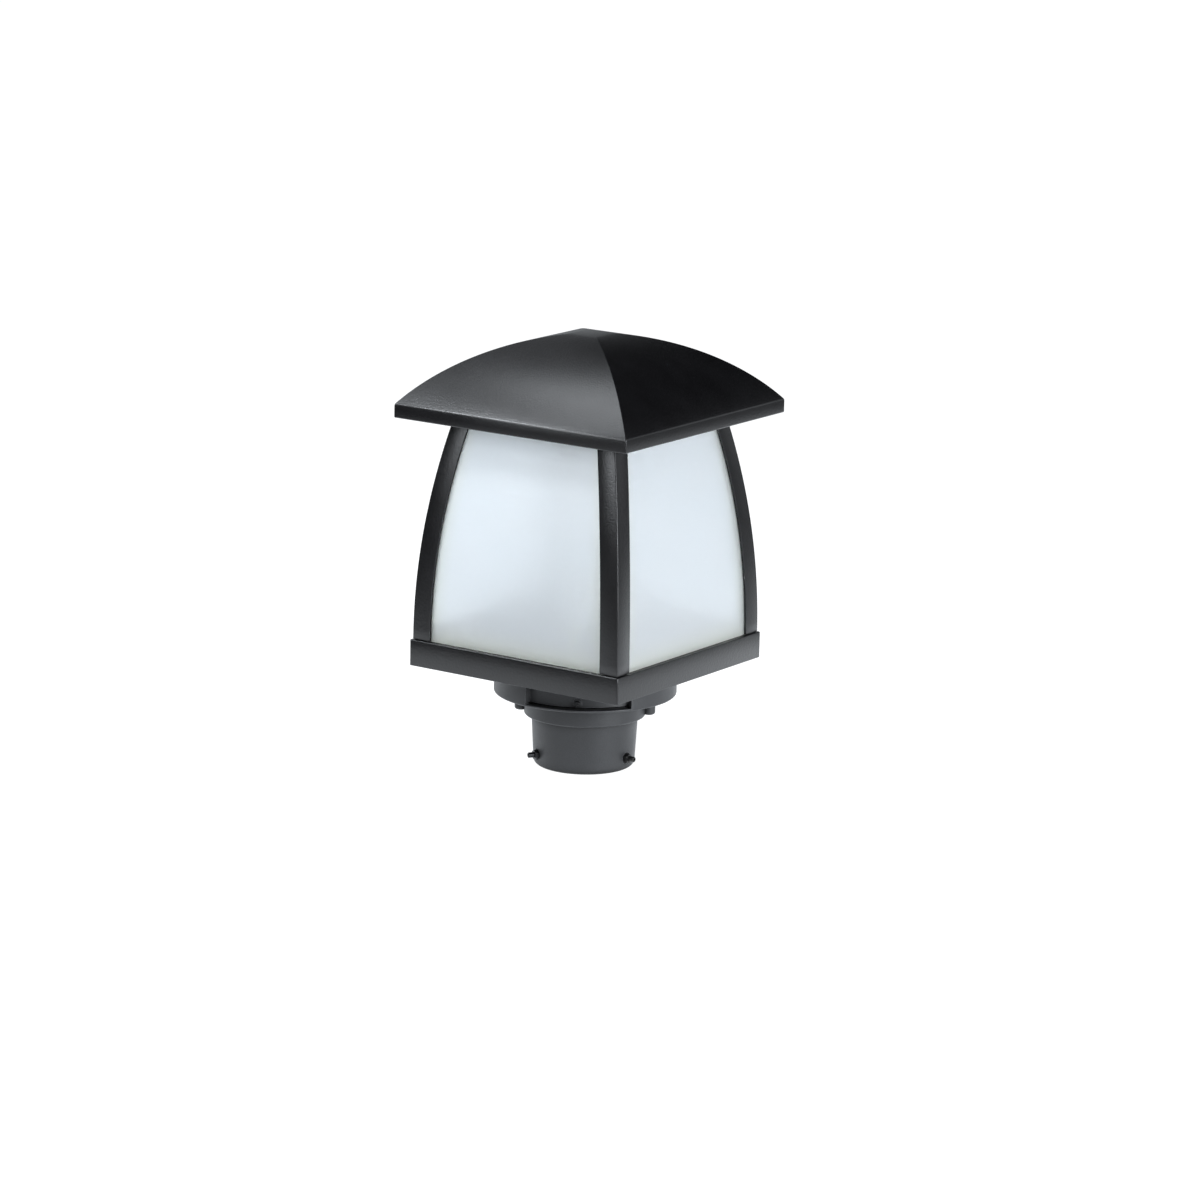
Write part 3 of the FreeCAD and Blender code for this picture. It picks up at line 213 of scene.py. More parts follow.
def grain_group() -> bpy.types.NodeTree:
    """Fine grain over slow swells, in height and tone, as cast and coated surfaces have.

    Returns:
        The node group: inputs Grain Scale, Swell Scale and Swell Share; outputs Height and Tone.
    """
    inputs = {"Grain Scale": 900.0, "Swell Scale": 60.0, "Swell Share": 0.3}
    tree, graph = new_group("surface_grain", inputs, ("Height", "Tone"))
    source = graph.node("NodeGroupInput")
    place = graph.node("TexCoord").outputs["Object"]
    grain = graph.noise(place, source.outputs["Grain Scale"], detail=2.0, roughness=0.6)
    swell = graph.noise(place, source.outputs["Swell Scale"], detail=2.0)
    rest = graph.maths("SUBTRACT", 1.0, source.outputs["Swell Share"])
    height = graph.maths("ADD", graph.maths("MULTIPLY", grain, rest),
                         graph.maths("MULTIPLY", swell, source.outputs["Swell Share"]))
    tone = graph.maths("ADD", graph.maths("MULTIPLY", grain, 0.5), graph.maths("MULTIPLY", swell, 0.5))
    graph.node("NodeGroupOutput", {"Height": height, "Tone": tone})
    return tree


def edge_highlight_group() -> bpy.types.NodeTree:
    """A painted highlight along edges: 1 along sharp outer edges, broken up by noise, 0 elsewhere.

    Returns:
        The node group: inputs Width and Amount; output Mask.
    """
    tree, graph = new_group("painted_edge_highlight", {"Width": 0.0006, "Amount": 0.5}, ("Mask",))
    source = graph.node("NodeGroupInput")
    soft = graph.node("Bevel", {"Radius": source.outputs["Width"]}, samples=4).outputs[0]
    flat = graph.node("NewGeometry").outputs["Normal"]
    along = graph.node("VectorMath", {0: soft, 1: flat}, operation="DOT_PRODUCT").outputs["Value"]
    edge = graph.spread(along, 1.0, 0.0, start=SHARP_TURN, end=NO_TURN)
    place = graph.node("TexCoord").outputs["Object"]
    patches = graph.noise(place, HIGHLIGHT_PATCH_SCALE, detail=4.0)
    broken = graph.spread(patches, LEAST_HIGHLIGHT, 1.0, start=0.35, end=0.65)
    mask = graph.maths("MULTIPLY", graph.maths("MULTIPLY", edge, broken), source.outputs["Amount"])
    graph.node("NodeGroupOutput", {"Mask": mask})
    return tree


def crevice_shade_group() -> bpy.types.NodeTree:
    """Painted shade in deep corners, from ambient occlusion: 1 in a crevice, 0 in the open.

    Returns:
        The node group: inputs Reach and Amount; output Mask.
    """
    tree, graph = new_group("painted_crevice_shade", {"Reach": 0.02, "Amount": 0.5}, ("Mask",))
    source = graph.node("NodeGroupInput")
    reach = {"Distance": source.outputs["Reach"]}
    open_share = graph.node("AmbientOcclusion", reach, samples=6).outputs["AO"]
    depth = graph.spread(open_share, 1.0, 0.0, start=CREVICE_SHUT, end=CREVICE_OPEN)
    graph.node("NodeGroupOutput", {"Mask": graph.maths("MULTIPLY", depth, source.outputs["Amount"])})
    return tree


class Effects:
    """The node groups that several finishes share, each built once."""

    made: dict[str, bpy.types.NodeTree] = {}
    builders: dict[str, Callable[[], bpy.types.NodeTree]] = {
        "grain": grain_group,
        "edge_highlight": edge_highlight_group,
        "crevice": crevice_shade_group,
    }

    @classmethod
    def place(cls, graph: Graph, word: str, **values: float) -> bpy.types.Node:
        """Place a shared effect in a material.

        Args:
            graph: the material's writer.
            word: the effect's name.
            values: its inputs, with underscores for spaces.

        Returns:
            The group node.
        """
        if word not in cls.made:
            cls.made[word] = cls.builders[word]()
        made = graph.tree.nodes.new("ShaderNodeGroup")
        made.node_tree = cls.made[word]
        for name, value in values.items():
            made.inputs[socket_name(name)].default_value = value
        return made


# ---- finishes ----

@dataclass(frozen=True)
class Finish:
    """A procedural material: a tone, a grain in its height and a spread of roughness.

    Tone and roughness run from their first to their second value while the grain's tone crosses
    tone_span. A finish without a painted edge highlight or painted crevice shade has none of it.
    """

    name: str
    slot: Slot
    tone: Colour
    second_tone: Colour
    roughness: tuple[float, float] = (0.4, 0.5)
    tone_span: tuple[float, float] = (0.35, 0.65)
    metallic: float = 0.0
    grain_scale: float = 900.0
    swell_scale: float = 60.0
    swell_share: float = 0.3
    bump: float = 0.1
    bump_depth: float = 0.0002
    ior: float = 1.5
    edge_highlight: float = 0.0
    highlight_tone: Colour = (0.1, 0.1, 0.11)
    highlight_width: float = 0.0006
    crevice: float = 0.0
    crevice_shade_tone: Colour = (0.002, 0.002, 0.002)
    crevice_reach: float = 0.02
    crevice_roughness: float = 0.85

    def material(self) -> bpy.types.Material:
        """Build this finish's material, or find it.

        Returns:
            The material, the same one for every piece.
        """
        known = bpy.data.materials.get(self.name)
        if known is not None:
            return known
        made, graph = new_material(self.name)
        shader = self.shader(graph)
        graph.node("OutputMaterial", {"Surface": shader.outputs[0]})
        return made

    def grain(self, graph: Graph) -> bpy.types.Node:
        """Place the shared grain at this finish's scales and return its node."""
        return Effects.place(graph, "grain", grain_scale=self.grain_scale, swell_scale=self.swell_scale,
                             swell_share=self.swell_share)

    def two_tone(self, graph: Graph, share: bpy.types.NodeSocket) -> bpy.types.NodeSocket:
        """Return the mix of this finish's two tones."""
        return graph.blend(share, rgba(self.tone), rgba(self.second_tone))

    def surface(self, graph: Graph, tone: bpy.types.NodeSocket, rough: bpy.types.NodeSocket,
                height: bpy.types.NodeSocket, **more: float) -> bpy.types.Node:
        """Write the shader that a finish ends in.

        Args:
            graph: the material's writer.
            tone: its colour.
            rough: its roughness.
            height: the height that the bump follows.
            more: constants for further inputs, with underscores for spaces.

        Returns:
            The shader node.
        """
        normal = graph.node("Bump", {"Height": height, "Strength": self.bump,
                                     "Distance": self.bump_depth}).outputs[0]
        made = graph.node("BsdfPrincipled", {"Base Color": tone, "Roughness": rough, "Normal": normal,
                                             "Metallic": self.metallic, "IOR": self.ior})
        for name, value in more.items():
            made.inputs[socket_name(name)].default_value = value
        return made

    def shader(self, graph: Graph) -> bpy.types.Node:
        """Write a coat or moulding: grained, with a painted edge highlight and a painted, rougher crevice
        shade.

        Args:
            graph: the material's writer.

        Returns:
            The shader node.
        """
        grain = self.grain(graph)
        tone = self.two_tone(graph, graph.spread(grain.outputs["Tone"], 0.0, 1.0, *self.tone_span))
        rough = graph.spread(grain.outputs["Tone"], *self.roughness, *self.tone_span)
        # Painted highlight: a lighter tone along sharp edges, broken up by noise.
        if self.edge_highlight:
            painted_highlight = Effects.place(graph, "edge_highlight", width=self.highlight_width, amount=self.edge_highlight)
            tone = graph.blend(painted_highlight.outputs["Mask"], tone, rgba(self.highlight_tone))
        # Painted shade: a darker tone in crevices, from ambient occlusion, where the roughness also
        # rises.
        if self.crevice:
            painted_shade = Effects.place(graph, "crevice", reach=self.crevice_reach, amount=self.crevice)
            tone = graph.blend(painted_shade.outputs["Mask"], tone, rgba(self.crevice_shade_tone))
            rough = graph.between(painted_shade.outputs["Mask"], rough, self.crevice_roughness)
        return self.surface(graph, tone, rough, grain.outputs["Height"])


@dataclass(frozen=True)
class BrushedFinish(Finish):
    """Bare or plated metal, with streaks along one axis."""

    tone_span: tuple[float, float] = (0.4, 0.7)
    streak_span: tuple[float, float] = (0.3, 0.7)
    streak: Triple = (1.0, 1.0, 30.0)

    def shader(self, graph: Graph) -> bpy.types.Node:
        """Write streaked and lightly stained metal.

        Args:
            graph: the material's writer.

        Returns:
            The shader node.
        """
        place = graph.node("TexCoord").outputs["Object"]
        stretched = graph.node("Mapping", {"Vector": place, "Scale": self.streak}).outputs[0]
        streaks = graph.noise(stretched, self.grain_scale, detail=3.0)
        stain = graph.noise(place, self.swell_scale, detail=4.0)
        tone = self.two_tone(graph, graph.spread(stain, 0.0, 1.0, *self.tone_span))
        rough = graph.spread(streaks, *self.roughness, *self.streak_span)
        return self.surface(graph, tone, rough, streaks)


@dataclass(frozen=True)
class FrostedFinish(Finish):
    """Satin etched glass: rough to light that passes, warmer towards the edges of the pane."""

    tone_span: tuple[float, float] = (0.3, 0.7)
    edge_tone: Colour = (0.93, 0.95, 0.88)
    edge_share: float = 0.12
    edge_fade: float = 1.6
    clearness: float = 0.7

    def shader(self, graph: Graph) -> bpy.types.Node:
        """Write etched glass whose margins take the edge tone.

        Args:
            graph: the material's writer.

        Returns:
            The shader node.
        """
        grain = self.grain(graph)
        across = graph.node("SeparateXYZ", {0: graph.node("UVMap").outputs[0]})
        margins = []
        for axis in ("X", "Y"):
            away = graph.maths("ABSOLUTE", graph.maths("SUBTRACT", across.outputs[axis], 0.5))
            margins.append(graph.spread(away, 0.0, 1.0, start=0.5 - self.edge_share, end=0.5))
        edge = graph.maths("POWER", graph.maths("MAXIMUM", *margins), self.edge_fade)
        tone = self.two_tone(graph, graph.spread(grain.outputs["Tone"], 0.0, 1.0, *self.tone_span))
        tone = graph.blend(edge, tone, rgba(self.edge_tone))
        rough = graph.spread(grain.outputs["Tone"], *self.roughness, *self.tone_span)
        return self.surface(graph, tone, rough, grain.outputs["Height"],
                            transmission_weight=self.clearness)


@dataclass(frozen=True)
class StripedFinish(Finish):
    """An insulated lead in two colours that wind round it."""

    stripe: Colour = (0.75, 0.6, 0.05)
    stripe_scale: float = 55.0
    stripe_span: tuple[float, float] = (0.48, 0.52)

    def shader(self, graph: Graph) -> bpy.types.Node:
        """Write a sheath with a second colour laid over the first in bands.

        Args:
            graph: the material's writer.

        Returns:
            The shader node.
        """
        made = super().shader(graph)
        place = graph.node("TexCoord").outputs["Object"]
        wave = graph.node("TexWave", {"Vector": place, "Scale": self.stripe_scale, "Distortion": 0.6},
                          bands_direction="DIAGONAL").outputs["Fac"]
        base = made.inputs["Base Color"]
        band = graph.spread(wave, 0.0, 1.0, *self.stripe_span)
        tone = graph.blend(band, base.links[0].from_socket, rgba(self.stripe))
        graph.tree.links.new(tone, base)
        return made


# COAT and CAST_COAT paint a lighter tone along their sharp edges as a highlight.
COAT = Finish("black_powder_coat", Slot.COAT, (0.0018, 0.0016, 0.002), (0.0034, 0.0032, 0.0038),
              roughness=(0.295, 0.335), grain_scale=560.0, swell_scale=34.0, swell_share=0.2, bump=0.36,
              bump_depth=0.0006, edge_highlight=0.55, highlight_tone=(0.06, 0.061, 0.065), highlight_width=0.0014)
# CAST_COAT also paints a darker tone into its crevices as shade.
CAST_COAT = Finish("black_coat_on_casting", Slot.COAT, (0.016, 0.0163, 0.0177), (0.027, 0.0275, 0.0297),
                   roughness=(0.42, 0.55), grain_scale=800.0, swell_scale=45.0, swell_share=0.45,
                   bump=0.28, bump_depth=0.0006, edge_highlight=0.9, highlight_tone=(0.22, 0.223, 0.23),
                   highlight_width=0.0013, crevice=0.9, crevice_reach=0.009)
SHEET_COAT = Finish("black_coat_on_sheet", Slot.COAT, (0.0018, 0.0016, 0.002), (0.0034, 0.0032, 0.0038),
                    roughness=(0.4, 0.5), grain_scale=1200.0, bump=0.12, bump_depth=0.0003)
GLASS = FrostedFinish("etched_glass", Slot.GLASS, (0.925, 0.96, 0.985), (0.945, 0.97, 0.99),
                      roughness=(0.32, 0.4), grain_scale=1500.0, swell_scale=18.0, swell_share=0.2,
                      bump=0.03, bump_depth=0.0002, ior=1.45)
BLACK_STEEL = BrushedFinish("blackened_steel", Slot.BLACK_STEEL, (0.012, 0.012, 0.013),
                            (0.03, 0.029, 0.028), roughness=(0.28, 0.46), metallic=0.6, grain_scale=180.0,
                            bump=0.08)
ZINC = BrushedFinish("zinc_plated_steel", Slot.ZINC_STEEL, (0.52, 0.53, 0.55), (0.43, 0.44, 0.45),
                     roughness=(0.22, 0.42), metallic=1.0, grain_scale=160.0, bump=0.05)
RUBBER = Finish("black_rubber", Slot.RUBBER, (0.014, 0.014, 0.014), (0.026, 0.026, 0.026),
                roughness=(0.7, 0.85), grain_scale=700.0, bump=0.2, bump_depth=0.0003)
PORCELAIN = Finish("white_porcelain", Slot.CERAMIC, (0.72, 0.71, 0.68), (0.78, 0.775, 0.75),
                   roughness=(0.12, 0.2), grain_scale=260.0, swell_scale=70.0, swell_share=0.6, bump=0.04)
BRASS = BrushedFinish("brass", Slot.BRASS, (0.62, 0.45, 0.18), (0.5, 0.34, 0.13), roughness=(0.22, 0.4),
                      metallic=1.0, grain_scale=200.0, bump=0.06)
SPRING_STEEL = BrushedFinish("spring_steel", Slot.SPRING, (0.42, 0.42, 0.43), (0.33, 0.33, 0.34),
                             roughness=(0.2, 0.35), metallic=1.0, grain_scale=260.0, bump=0.05)
TERMINAL = Finish("terminal_moulding", Slot.TERMINAL, (0.62, 0.62, 0.58), (0.68, 0.68, 0.64),
                  roughness=(0.4, 0.5), grain_scale=900.0, bump=0.08)
LIVE_SHEATH = Finish("brown_sheath", Slot.LIVE, (0.10, 0.038, 0.018), (0.14, 0.055, 0.026),
                     roughness=(0.35, 0.45), grain_scale=500.0, bump=0.06)
NEUTRAL_SHEATH = Finish("blue_sheath", Slot.NEUTRAL, (0.02, 0.10, 0.42), (0.03, 0.13, 0.5),
                        roughness=(0.35, 0.45), grain_scale=500.0, bump=0.06)
EARTH_SHEATH = StripedFinish("green_yellow_sheath", Slot.EARTH, (0.03, 0.30, 0.06), (0.04, 0.36, 0.08),
                             roughness=(0.35, 0.45), grain_scale=500.0, bump=0.06)


# ---- meshes ----

def placed(name: str, data: bpy.types.ID) -> bpy.types.Object:
    """Put new data into the scene.

    Args:
        name: the object's name.
        data: its mesh, light or camera.

    Returns:
        The new object.
    """
    made = bpy.data.objects.new(name, data)
    bpy.context.scene.collection.objects.link(made)
    return made


def quadrant(x: float, y: float) -> Vector:
    """Return the signs of a point's coordinates."""
    return Vector((math.copysign(1.0, x), math.copysign(1.0, y), 0.0))


def is_level(edge: bmesh.types.BMEdge) -> bool:
    """Tell whether an edge lies level."""
    return abs(edge.verts[0].co.z - edge.verts[1].co.z) < MERGE_DISTANCE


def about_z(degrees: float) -> Matrix:
    """Return a turn about the vertical axis."""
    return Matrix.Rotation(math.radians(degrees), 4, "Z")


def facing(way: Vector) -> Matrix:
    """Return the turn that points a shape's own vertical axis a given way."""
    return way.to_track_quat("Z", "Y").to_matrix().to_4x4()


def circle_points(centre: Level, radius: float, start: float, end: float, steps: int) -> list[Level]:
    """Return points along an arc of a half outline.

    Args:
        centre: the arc's centre.
        radius: its radius.
        start: the first angle, in degrees.
        end: the last angle, in degrees.
        steps: how many runs the arc has.

    Returns:
        The points, both ends included.
    """
    turns = [math.radians(start + (end - start) * step / steps) for step in range(steps + 1)]
    return [(centre[0] + radius * math.cos(turn), centre[1] + radius * math.sin(turn)) for turn in turns]


class Shape:
    """A mesh in the making."""

    def __init__(self) -> None:
        """Start with an empty mesh."""
        self.bm = bmesh.new()

    def cut_corners(self, corners: Sequence[bmesh.types.BMVert], radius: float, segments: int) -> None:
        """Round corners of a flat face."""
        bmesh.ops.bevel(self.bm, geom=corners, offset=radius, offset_type="OFFSET", segments=segments,
                        profile=0.5, affect="VERTICES", material=-1)

    def tower(self, levels: Sequence[Level], corner: float, segments: int = 4) -> "Shape":
        """Add a closed shell of square rings with round corners.

        Args:
            levels: half width and height of each ring, in order along the shell's section.
            corner: radius of the corners.
            segments: runs in each corner.

        Returns:
            This shape.
        """
        half, height = levels[0]
        square = ((-half, -half), (half, -half), (half, half), (-half, half))
        around = [self.bm.verts.new((x, y, height)) for x, y in square]
        self.bm.faces.new(around)
        self.cut_corners(around, corner, segments)
        self.bm.faces.ensure_lookup_table()
        cap = self.bm.faces[-1]
        for (before, low), (after, high) in pairwise(levels):
            cap = self.raised(cap)
            for vertex in cap.verts:
                vertex.co += quadrant(*vertex.co.xy) * (after - before) + Vector((0.0, 0.0, high - low))
        return self.tidied()

    def extruded(self, faces: Sequence[bmesh.types.BMFace], kind: type) -> list[Item]:
        """Extrude faces in place and return what is new of one kind, vertices or faces."""
        grown = bmesh.ops.extrude_face_region(self.bm, geom=faces)
        return [item for item in grown["geom"] if isinstance(item, kind)]

    def raised(self, face: bmesh.types.BMFace) -> bmesh.types.BMFace:
        """Extrude a face in place; one that stood alone stays behind as the shell's end.

        Args:
            face: the face to extrude.

        Returns:
            The new face.
        """
        alone = all(len(edge.link_faces) == 1 for edge in face.edges)
        grown = self.extruded([face], bmesh.types.BMFace)
        if not alone:
            bmesh.ops.delete(self.bm, geom=[face], context="FACES_ONLY")
        return grown[0]

    def turned(self, outline: Sequence[Level], steps: int = 96, closed: bool = True) -> "Shape":
        """Add a shape turned about the vertical axis.

        Args:
            outline: radius and height of the half outline's points.
            steps: runs in the full turn.
            closed: whether the outline's ends meet.

        Returns:
            This shape.
        """
        points = [self.bm.verts.new((radius, 0.0, height)) for radius, height in outline]
        runs = list(pairwise(points)) + ([(points[-1], points[0])] if closed else [])
        edges = [self.bm.edges.new(run) for run in runs]
        bmesh.ops.spin(self.bm, geom=points + edges, axis=UP, cent=ORIGIN, angle=math.tau, steps=steps,
                       use_merge=True)
        bmesh.ops.remove_doubles(self.bm, verts=self.bm.verts[:], dist=MERGE_DISTANCE)
        return self.tidied()

    def tidied(self) -> "Shape":
        """Turn all faces outwards and return this shape."""
        bmesh.ops.recalc_face_normals(self.bm, faces=self.bm.faces[:])
        return self

    def softened(self, radius: float, segments: int = 2, sharper_than: float = 30.0,
                 wanted: Callable[[bmesh.types.BMEdge], bool] | None = None) -> "Shape":
        """Round the edges that turn sharply.

        Args:
            radius: how far the rounding reaches from the edge.
            segments: runs across the rounding.
            sharper_than: the turn, in degrees, above which an edge is rounded.
            wanted: a further test of each edge.

        Returns:
            This shape.
        """
        limit = math.radians(sharper_than)
        edges = [edge for edge in self.bm.edges if edge.is_manifold and edge.calc_face_angle(0.0) > limit
                 and (wanted is None or wanted(edge))]
        bmesh.ops.bevel(self.bm, geom=edges, offset=radius, offset_type="OFFSET", segments=segments,
                        profile=0.5, affect="EDGES", clamp_overlap=True, material=-1)
        return self

    def moved(self, matrix: Matrix) -> "Shape":
        """Move or turn the whole shape and return it."""
        bmesh.ops.transform(self.bm, matrix=matrix, verts=self.bm.verts[:])
        return self

    def joined(self, other: "Shape") -> "Shape":
        """Take in another shape's faces.

        Args:
            other: the shape to take in, which ends with this.

        Returns:
            This shape.
        """
        scratch = bpy.data.meshes.new("scratch")
        other.bm.to_mesh(scratch)
        other.bm.free()
        self.bm.from_mesh(scratch)
        bpy.data.meshes.remove(scratch)
        return self

    def piece(self, name: str, finish: Finish, body: Body, *nodes: str,
              smooth: float = 32.0) -> bpy.types.Object:
        """Finish the mesh as a piece of the lantern.

        Args:
            name: the piece's name.
            finish: its finish.
            body: the body that it rides on.
            nodes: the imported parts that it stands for.
            smooth: the turn, in degrees, up to which neighbouring faces are shaded as one.

        Returns:
            The new object.
        """
        mesh = bpy.data.meshes.new(name)
        self.bm.to_mesh(mesh)
        self.bm.free()
        mesh.shade_smooth()
        mesh.set_sharp_from_angle(angle=math.radians(smooth))
        mesh.materials.append(finish.material())
        made = placed(name, mesh)
        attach(made, body.value)
        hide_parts(*nodes)
        LOG.info("%s: %d faces, in place of %s", name, len(mesh.polygons), ", ".join(nodes))
        return made

    def stage_piece(self, name: str, material: bpy.types.Material) -> bpy.types.Object:
        """Finish the mesh as a piece of the studio.

        Args:
            name: the piece's name.
            material: its material.

        Returns:
            The new object.
        """
        mesh = bpy.data.meshes.new(name)
        self.bm.to_mesh(mesh)
        self.bm.free()
        mesh.materials.append(material)
        made = placed(name, mesh)
        return made


def dress(finish: Finish, *nodes: str) -> None:
    """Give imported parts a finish.

    Args:
        finish: the finish.
        nodes: the parts' names.
    """
    for node in nodes:
        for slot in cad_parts[node].material_slots:
            slot.material = finish.material()
        LOG.info("%s: %s", node, finish.name)


# ---- sub-assemblies ----

@dataclass
class Roof:
    """Square cambered roof: a cast shell with a straight eave band and four screw bosses inside."""

    dome_radius: float = 170.0 * MM
    eave: float = 12.2 * MM
    cap_half: float = 14.6 * MM
    wall: float = 2.2 * MM
    corner: float = 0.9 * MM
    edge: float = 1.5 * MM
    edge_steps: int = 3
    sharp: float = 24.0
    steps: int = 28
    boss_reach: float = 98.0 * MM
    boss_radius: float = 4.5 * MM
    boss_hole: float = 2.05 * MM
    boss_hole_depth: float = 12.0 * MM
    boss_steps: int = 32

    def __post_init__(self) -> None:
        """Read the roof's box and place the arc's centre."""
        low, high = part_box("roof")
        self.half, self.base, self.top = high.x, low.z, high.z
        self.shoulder = self.base + self.eave
        run, rise = self.half - self.cap_half, self.top - self.shoulder
        chord = math.hypot(run, rise)
        apothem = math.sqrt(self.dome_radius ** 2 - chord ** 2 / 4)
        self.centre = ((self.half + self.cap_half) / 2 - apothem * rise / chord,
                       (self.shoulder + self.top) / 2 - apothem * run / chord)

    def arc(self, radius: float, low: Level, high: Level) -> list[Level]:
        """Return points of the camber.

        Args:
            radius: the arc's radius.
            low: the point where it starts.
            high: the point where it ends.

        Returns:
            The points, both ends included.
        """
        start, end = (math.degrees(math.atan2(point[1] - self.centre[1], point[0] - self.centre[0]))
                      for point in (low, high))
        return circle_points(self.centre, radius, start, end, self.steps)

    def inner_height(self, reach: float) -> float:
        """Return how high the middle of the wall is at a distance from the axis."""
        radius = self.dome_radius - self.wall / 2
        return self.centre[1] + math.sqrt(radius ** 2 - (reach - self.centre[0]) ** 2)

    def levels(self) -> list[Level]:
        """Lay out the shell's section, from the hollow's ceiling round the eave to the cap.

        Returns:
            Half width and height of each ring.
        """
        radius = self.dome_radius - self.wall
        inner = self.half - self.wall
        ceiling = self.top - self.wall
        across, up = self.centre
        inner_low = (inner, up + math.sqrt(radius ** 2 - (inner - across) ** 2))
        inner_high = (across + math.sqrt(radius ** 2 - (ceiling - up) ** 2), ceiling)
        hollow = self.arc(radius, inner_low, inner_high)
        outer = self.arc(self.dome_radius, (self.half, self.shoulder), (self.cap_half, self.top))
        return hollow[::-1] + [(inner, self.base), (self.half, self.base)] + outer

    def boss(self, angle: float) -> Shape:
        """Make one screw boss, its top shaped to the wall above it.

        Args:
            angle: where it stands about the axis, in degrees.

        Returns:
            The boss in its place.
        """
        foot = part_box("roof_pads")[1].z
        hole_top = foot + self.boss_hole_depth
        crown = self.inner_height(self.boss_reach)
        outline = [(0.0, hole_top), (self.boss_hole, hole_top), (self.boss_hole, foot),
                   (self.boss_radius, foot), (self.boss_radius, crown), (0.0, crown)]
        made = Shape().turned(outline, steps=self.boss_steps, closed=False)
        for vertex in made.bm.verts:
            if vertex.co.z > hole_top + self.wall:
                vertex.co.z = self.inner_height(self.boss_reach + vertex.co.x)
        return made.moved(about_z(angle) @ Matrix.Translation((self.boss_reach, 0.0, 0.0)))

    def build(self) -> None:
        """Make the roof."""
        shell = Shape().tower(self.levels(), self.corner)
        shell.softened(self.edge, self.edge_steps, self.sharp, is_level)
        for angle in QUARTERS:
            shell.joined(self.boss(angle))
        shell.piece("roof_casting", COAT, Body.ROOF, "roof")


@dataclass
class Cage:
    """Four curved corner posts with four bent panes between them."""

    curve: float = 850.0 * MM
    face: float = 19.0 * MM
    block: float = 14.0 * MM
    lip: float = 2.5 * MM
    foot: float = 0.8 * MM
    foot_margin: float = 1.5 * MM
    corner: float = 1.0 * MM
    corner_steps: int = 5
    lip_edge: float = 0.45 * MM
    lip_steps: int = 2
    end_edge: float = 0.35 * MM
    pane_gap: float = 0.3 * MM
    pane: float = 3.0 * MM
    pane_edge: float = 0.4 * MM
    sharp: float = 60.0
    steps: int = 22
    pane_steps: int = 16

    posts = ("post_rear_right", "post_rear_left", "post_front_left", "post_front_right")
    panes = ("pane_rear", "pane_left", "pane_front", "pane_right")

    def __post_init__(self) -> None:
        """Read where the posts stand."""
        low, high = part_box("post_rear_right")
        self.half, self.low, self.high = high.x, low.z, high.z
        self.pane_low, self.pane_high = (corner.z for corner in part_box("pane_rear"))

    def lean(self, height: float) -> float:
        """Return how far a post has drawn in at a height."""
        rise = height - self.low
        return self.curve - math.sqrt(self.curve ** 2 - rise ** 2)

    def post(self) -> Shape:
        """Make the post of the +X, +Y corner.

        Returns:
            The post with its foot.
        """
        made = Shape()
        bm, out = made.bm, self.half
        start = self.low + self.foot
        inner, lip = out - self.block, out - self.lip
        tip = out - self.face
        plan = [(out, out), (tip, out), (tip, lip), (inner, lip),
                (inner, inner), (lip, inner), (lip, tip), (out, tip)]
        around = [bm.verts.new((x, y, start)) for x, y in plan]
        bm.faces.new(around)
        made.cut_corners(around[:1], self.corner, self.corner_steps)
        tips = [vertex for vertex in bm.verts if min(vertex.co.xy) < tip + MERGE_DISTANCE]
        made.cut_corners(tips, self.lip_edge, self.lip_steps)
        bm.faces.ensure_lookup_table()
        cap = bm.faces[0]
        heights = [start + (self.high - start) * step / self.steps for step in range(self.steps + 1)]
        for low, high in pairwise(heights):
            cap = made.raised(cap)
            inward = self.lean(high) - self.lean(low)
            bmesh.ops.translate(bm, verts=cap.verts[:], vec=(-inward, -inward, high - low))
        made.tidied().softened(self.end_edge, sharper_than=self.sharp, wanted=self.is_end)
        size = self.block - 2 * self.foot_margin
        middle = inner + self.foot_margin + size / 2
        foot = Shape()
        place = Matrix.Translation((middle, middle, self.low + self.foot / 2))
        stretch = Matrix.Diagonal((size, size, self.foot, 1.0))
        bmesh.ops.create_cube(foot.bm, size=1.0, matrix=place @ stretch)
        return made.joined(foot)

    def is_end(self, edge: bmesh.types.BMEdge) -> bool:
        """Tell whether an edge runs round a post's lower or upper end."""
        ends = (self.low + self.foot, self.high)
        return is_level(edge) and any(abs(edge.verts[0].co.z - end) < MERGE_DISTANCE for end in ends)

    def sheet(self) -> Shape:
        """Make the pane of the +Y side.

        Returns:
            The pane, with a UV map over its face.
        """
        made = Shape()
        bmesh.ops.create_grid(made.bm, x_segments=self.pane_steps, y_segments=self.steps, size=1.0,
                              calc_uvs=True)
        layer = made.bm.loops.layers.uv.verify()
        outer = self.half - self.lip - self.pane_gap
        side = self.half - self.block - self.pane_gap
        for face in made.bm.faces:
            for loop in face.loops:
                loop[layer].uv = (loop.vert.co.xy + Vector((1.0, 1.0))) / 2
        for vertex in made.bm.verts:
            height = self.pane_low + (self.pane_high - self.pane_low) * (vertex.co.y + 1) / 2
            inward = self.lean(height)
            vertex.co = Vector((vertex.co.x * (side - inward), outer - inward, height))
        inner = made.extruded(made.bm.faces[:], bmesh.types.BMVert)
        bmesh.ops.translate(made.bm, verts=inner, vec=(0.0, -self.pane, 0.0))
        return made.tidied().softened(self.pane_edge, sharper_than=self.sharp)

    def build(self) -> None:
        """Make the posts and the panes."""
        for node, turn in zip(self.posts, QUARTERS):
            self.post().moved(about_z(turn)).piece(f"{node}_casting", COAT, Body.LANTERN, node)
        for node, turn in zip(self.panes, QUARTERS):
            self.sheet().moved(about_z(turn)).piece(f"{node}_glass", GLASS, Body.LANTERN, node)
        dress(SHEET_COAT, "top_frame", *(node.replace("pane_", "pane_strip_") for node in self.panes))


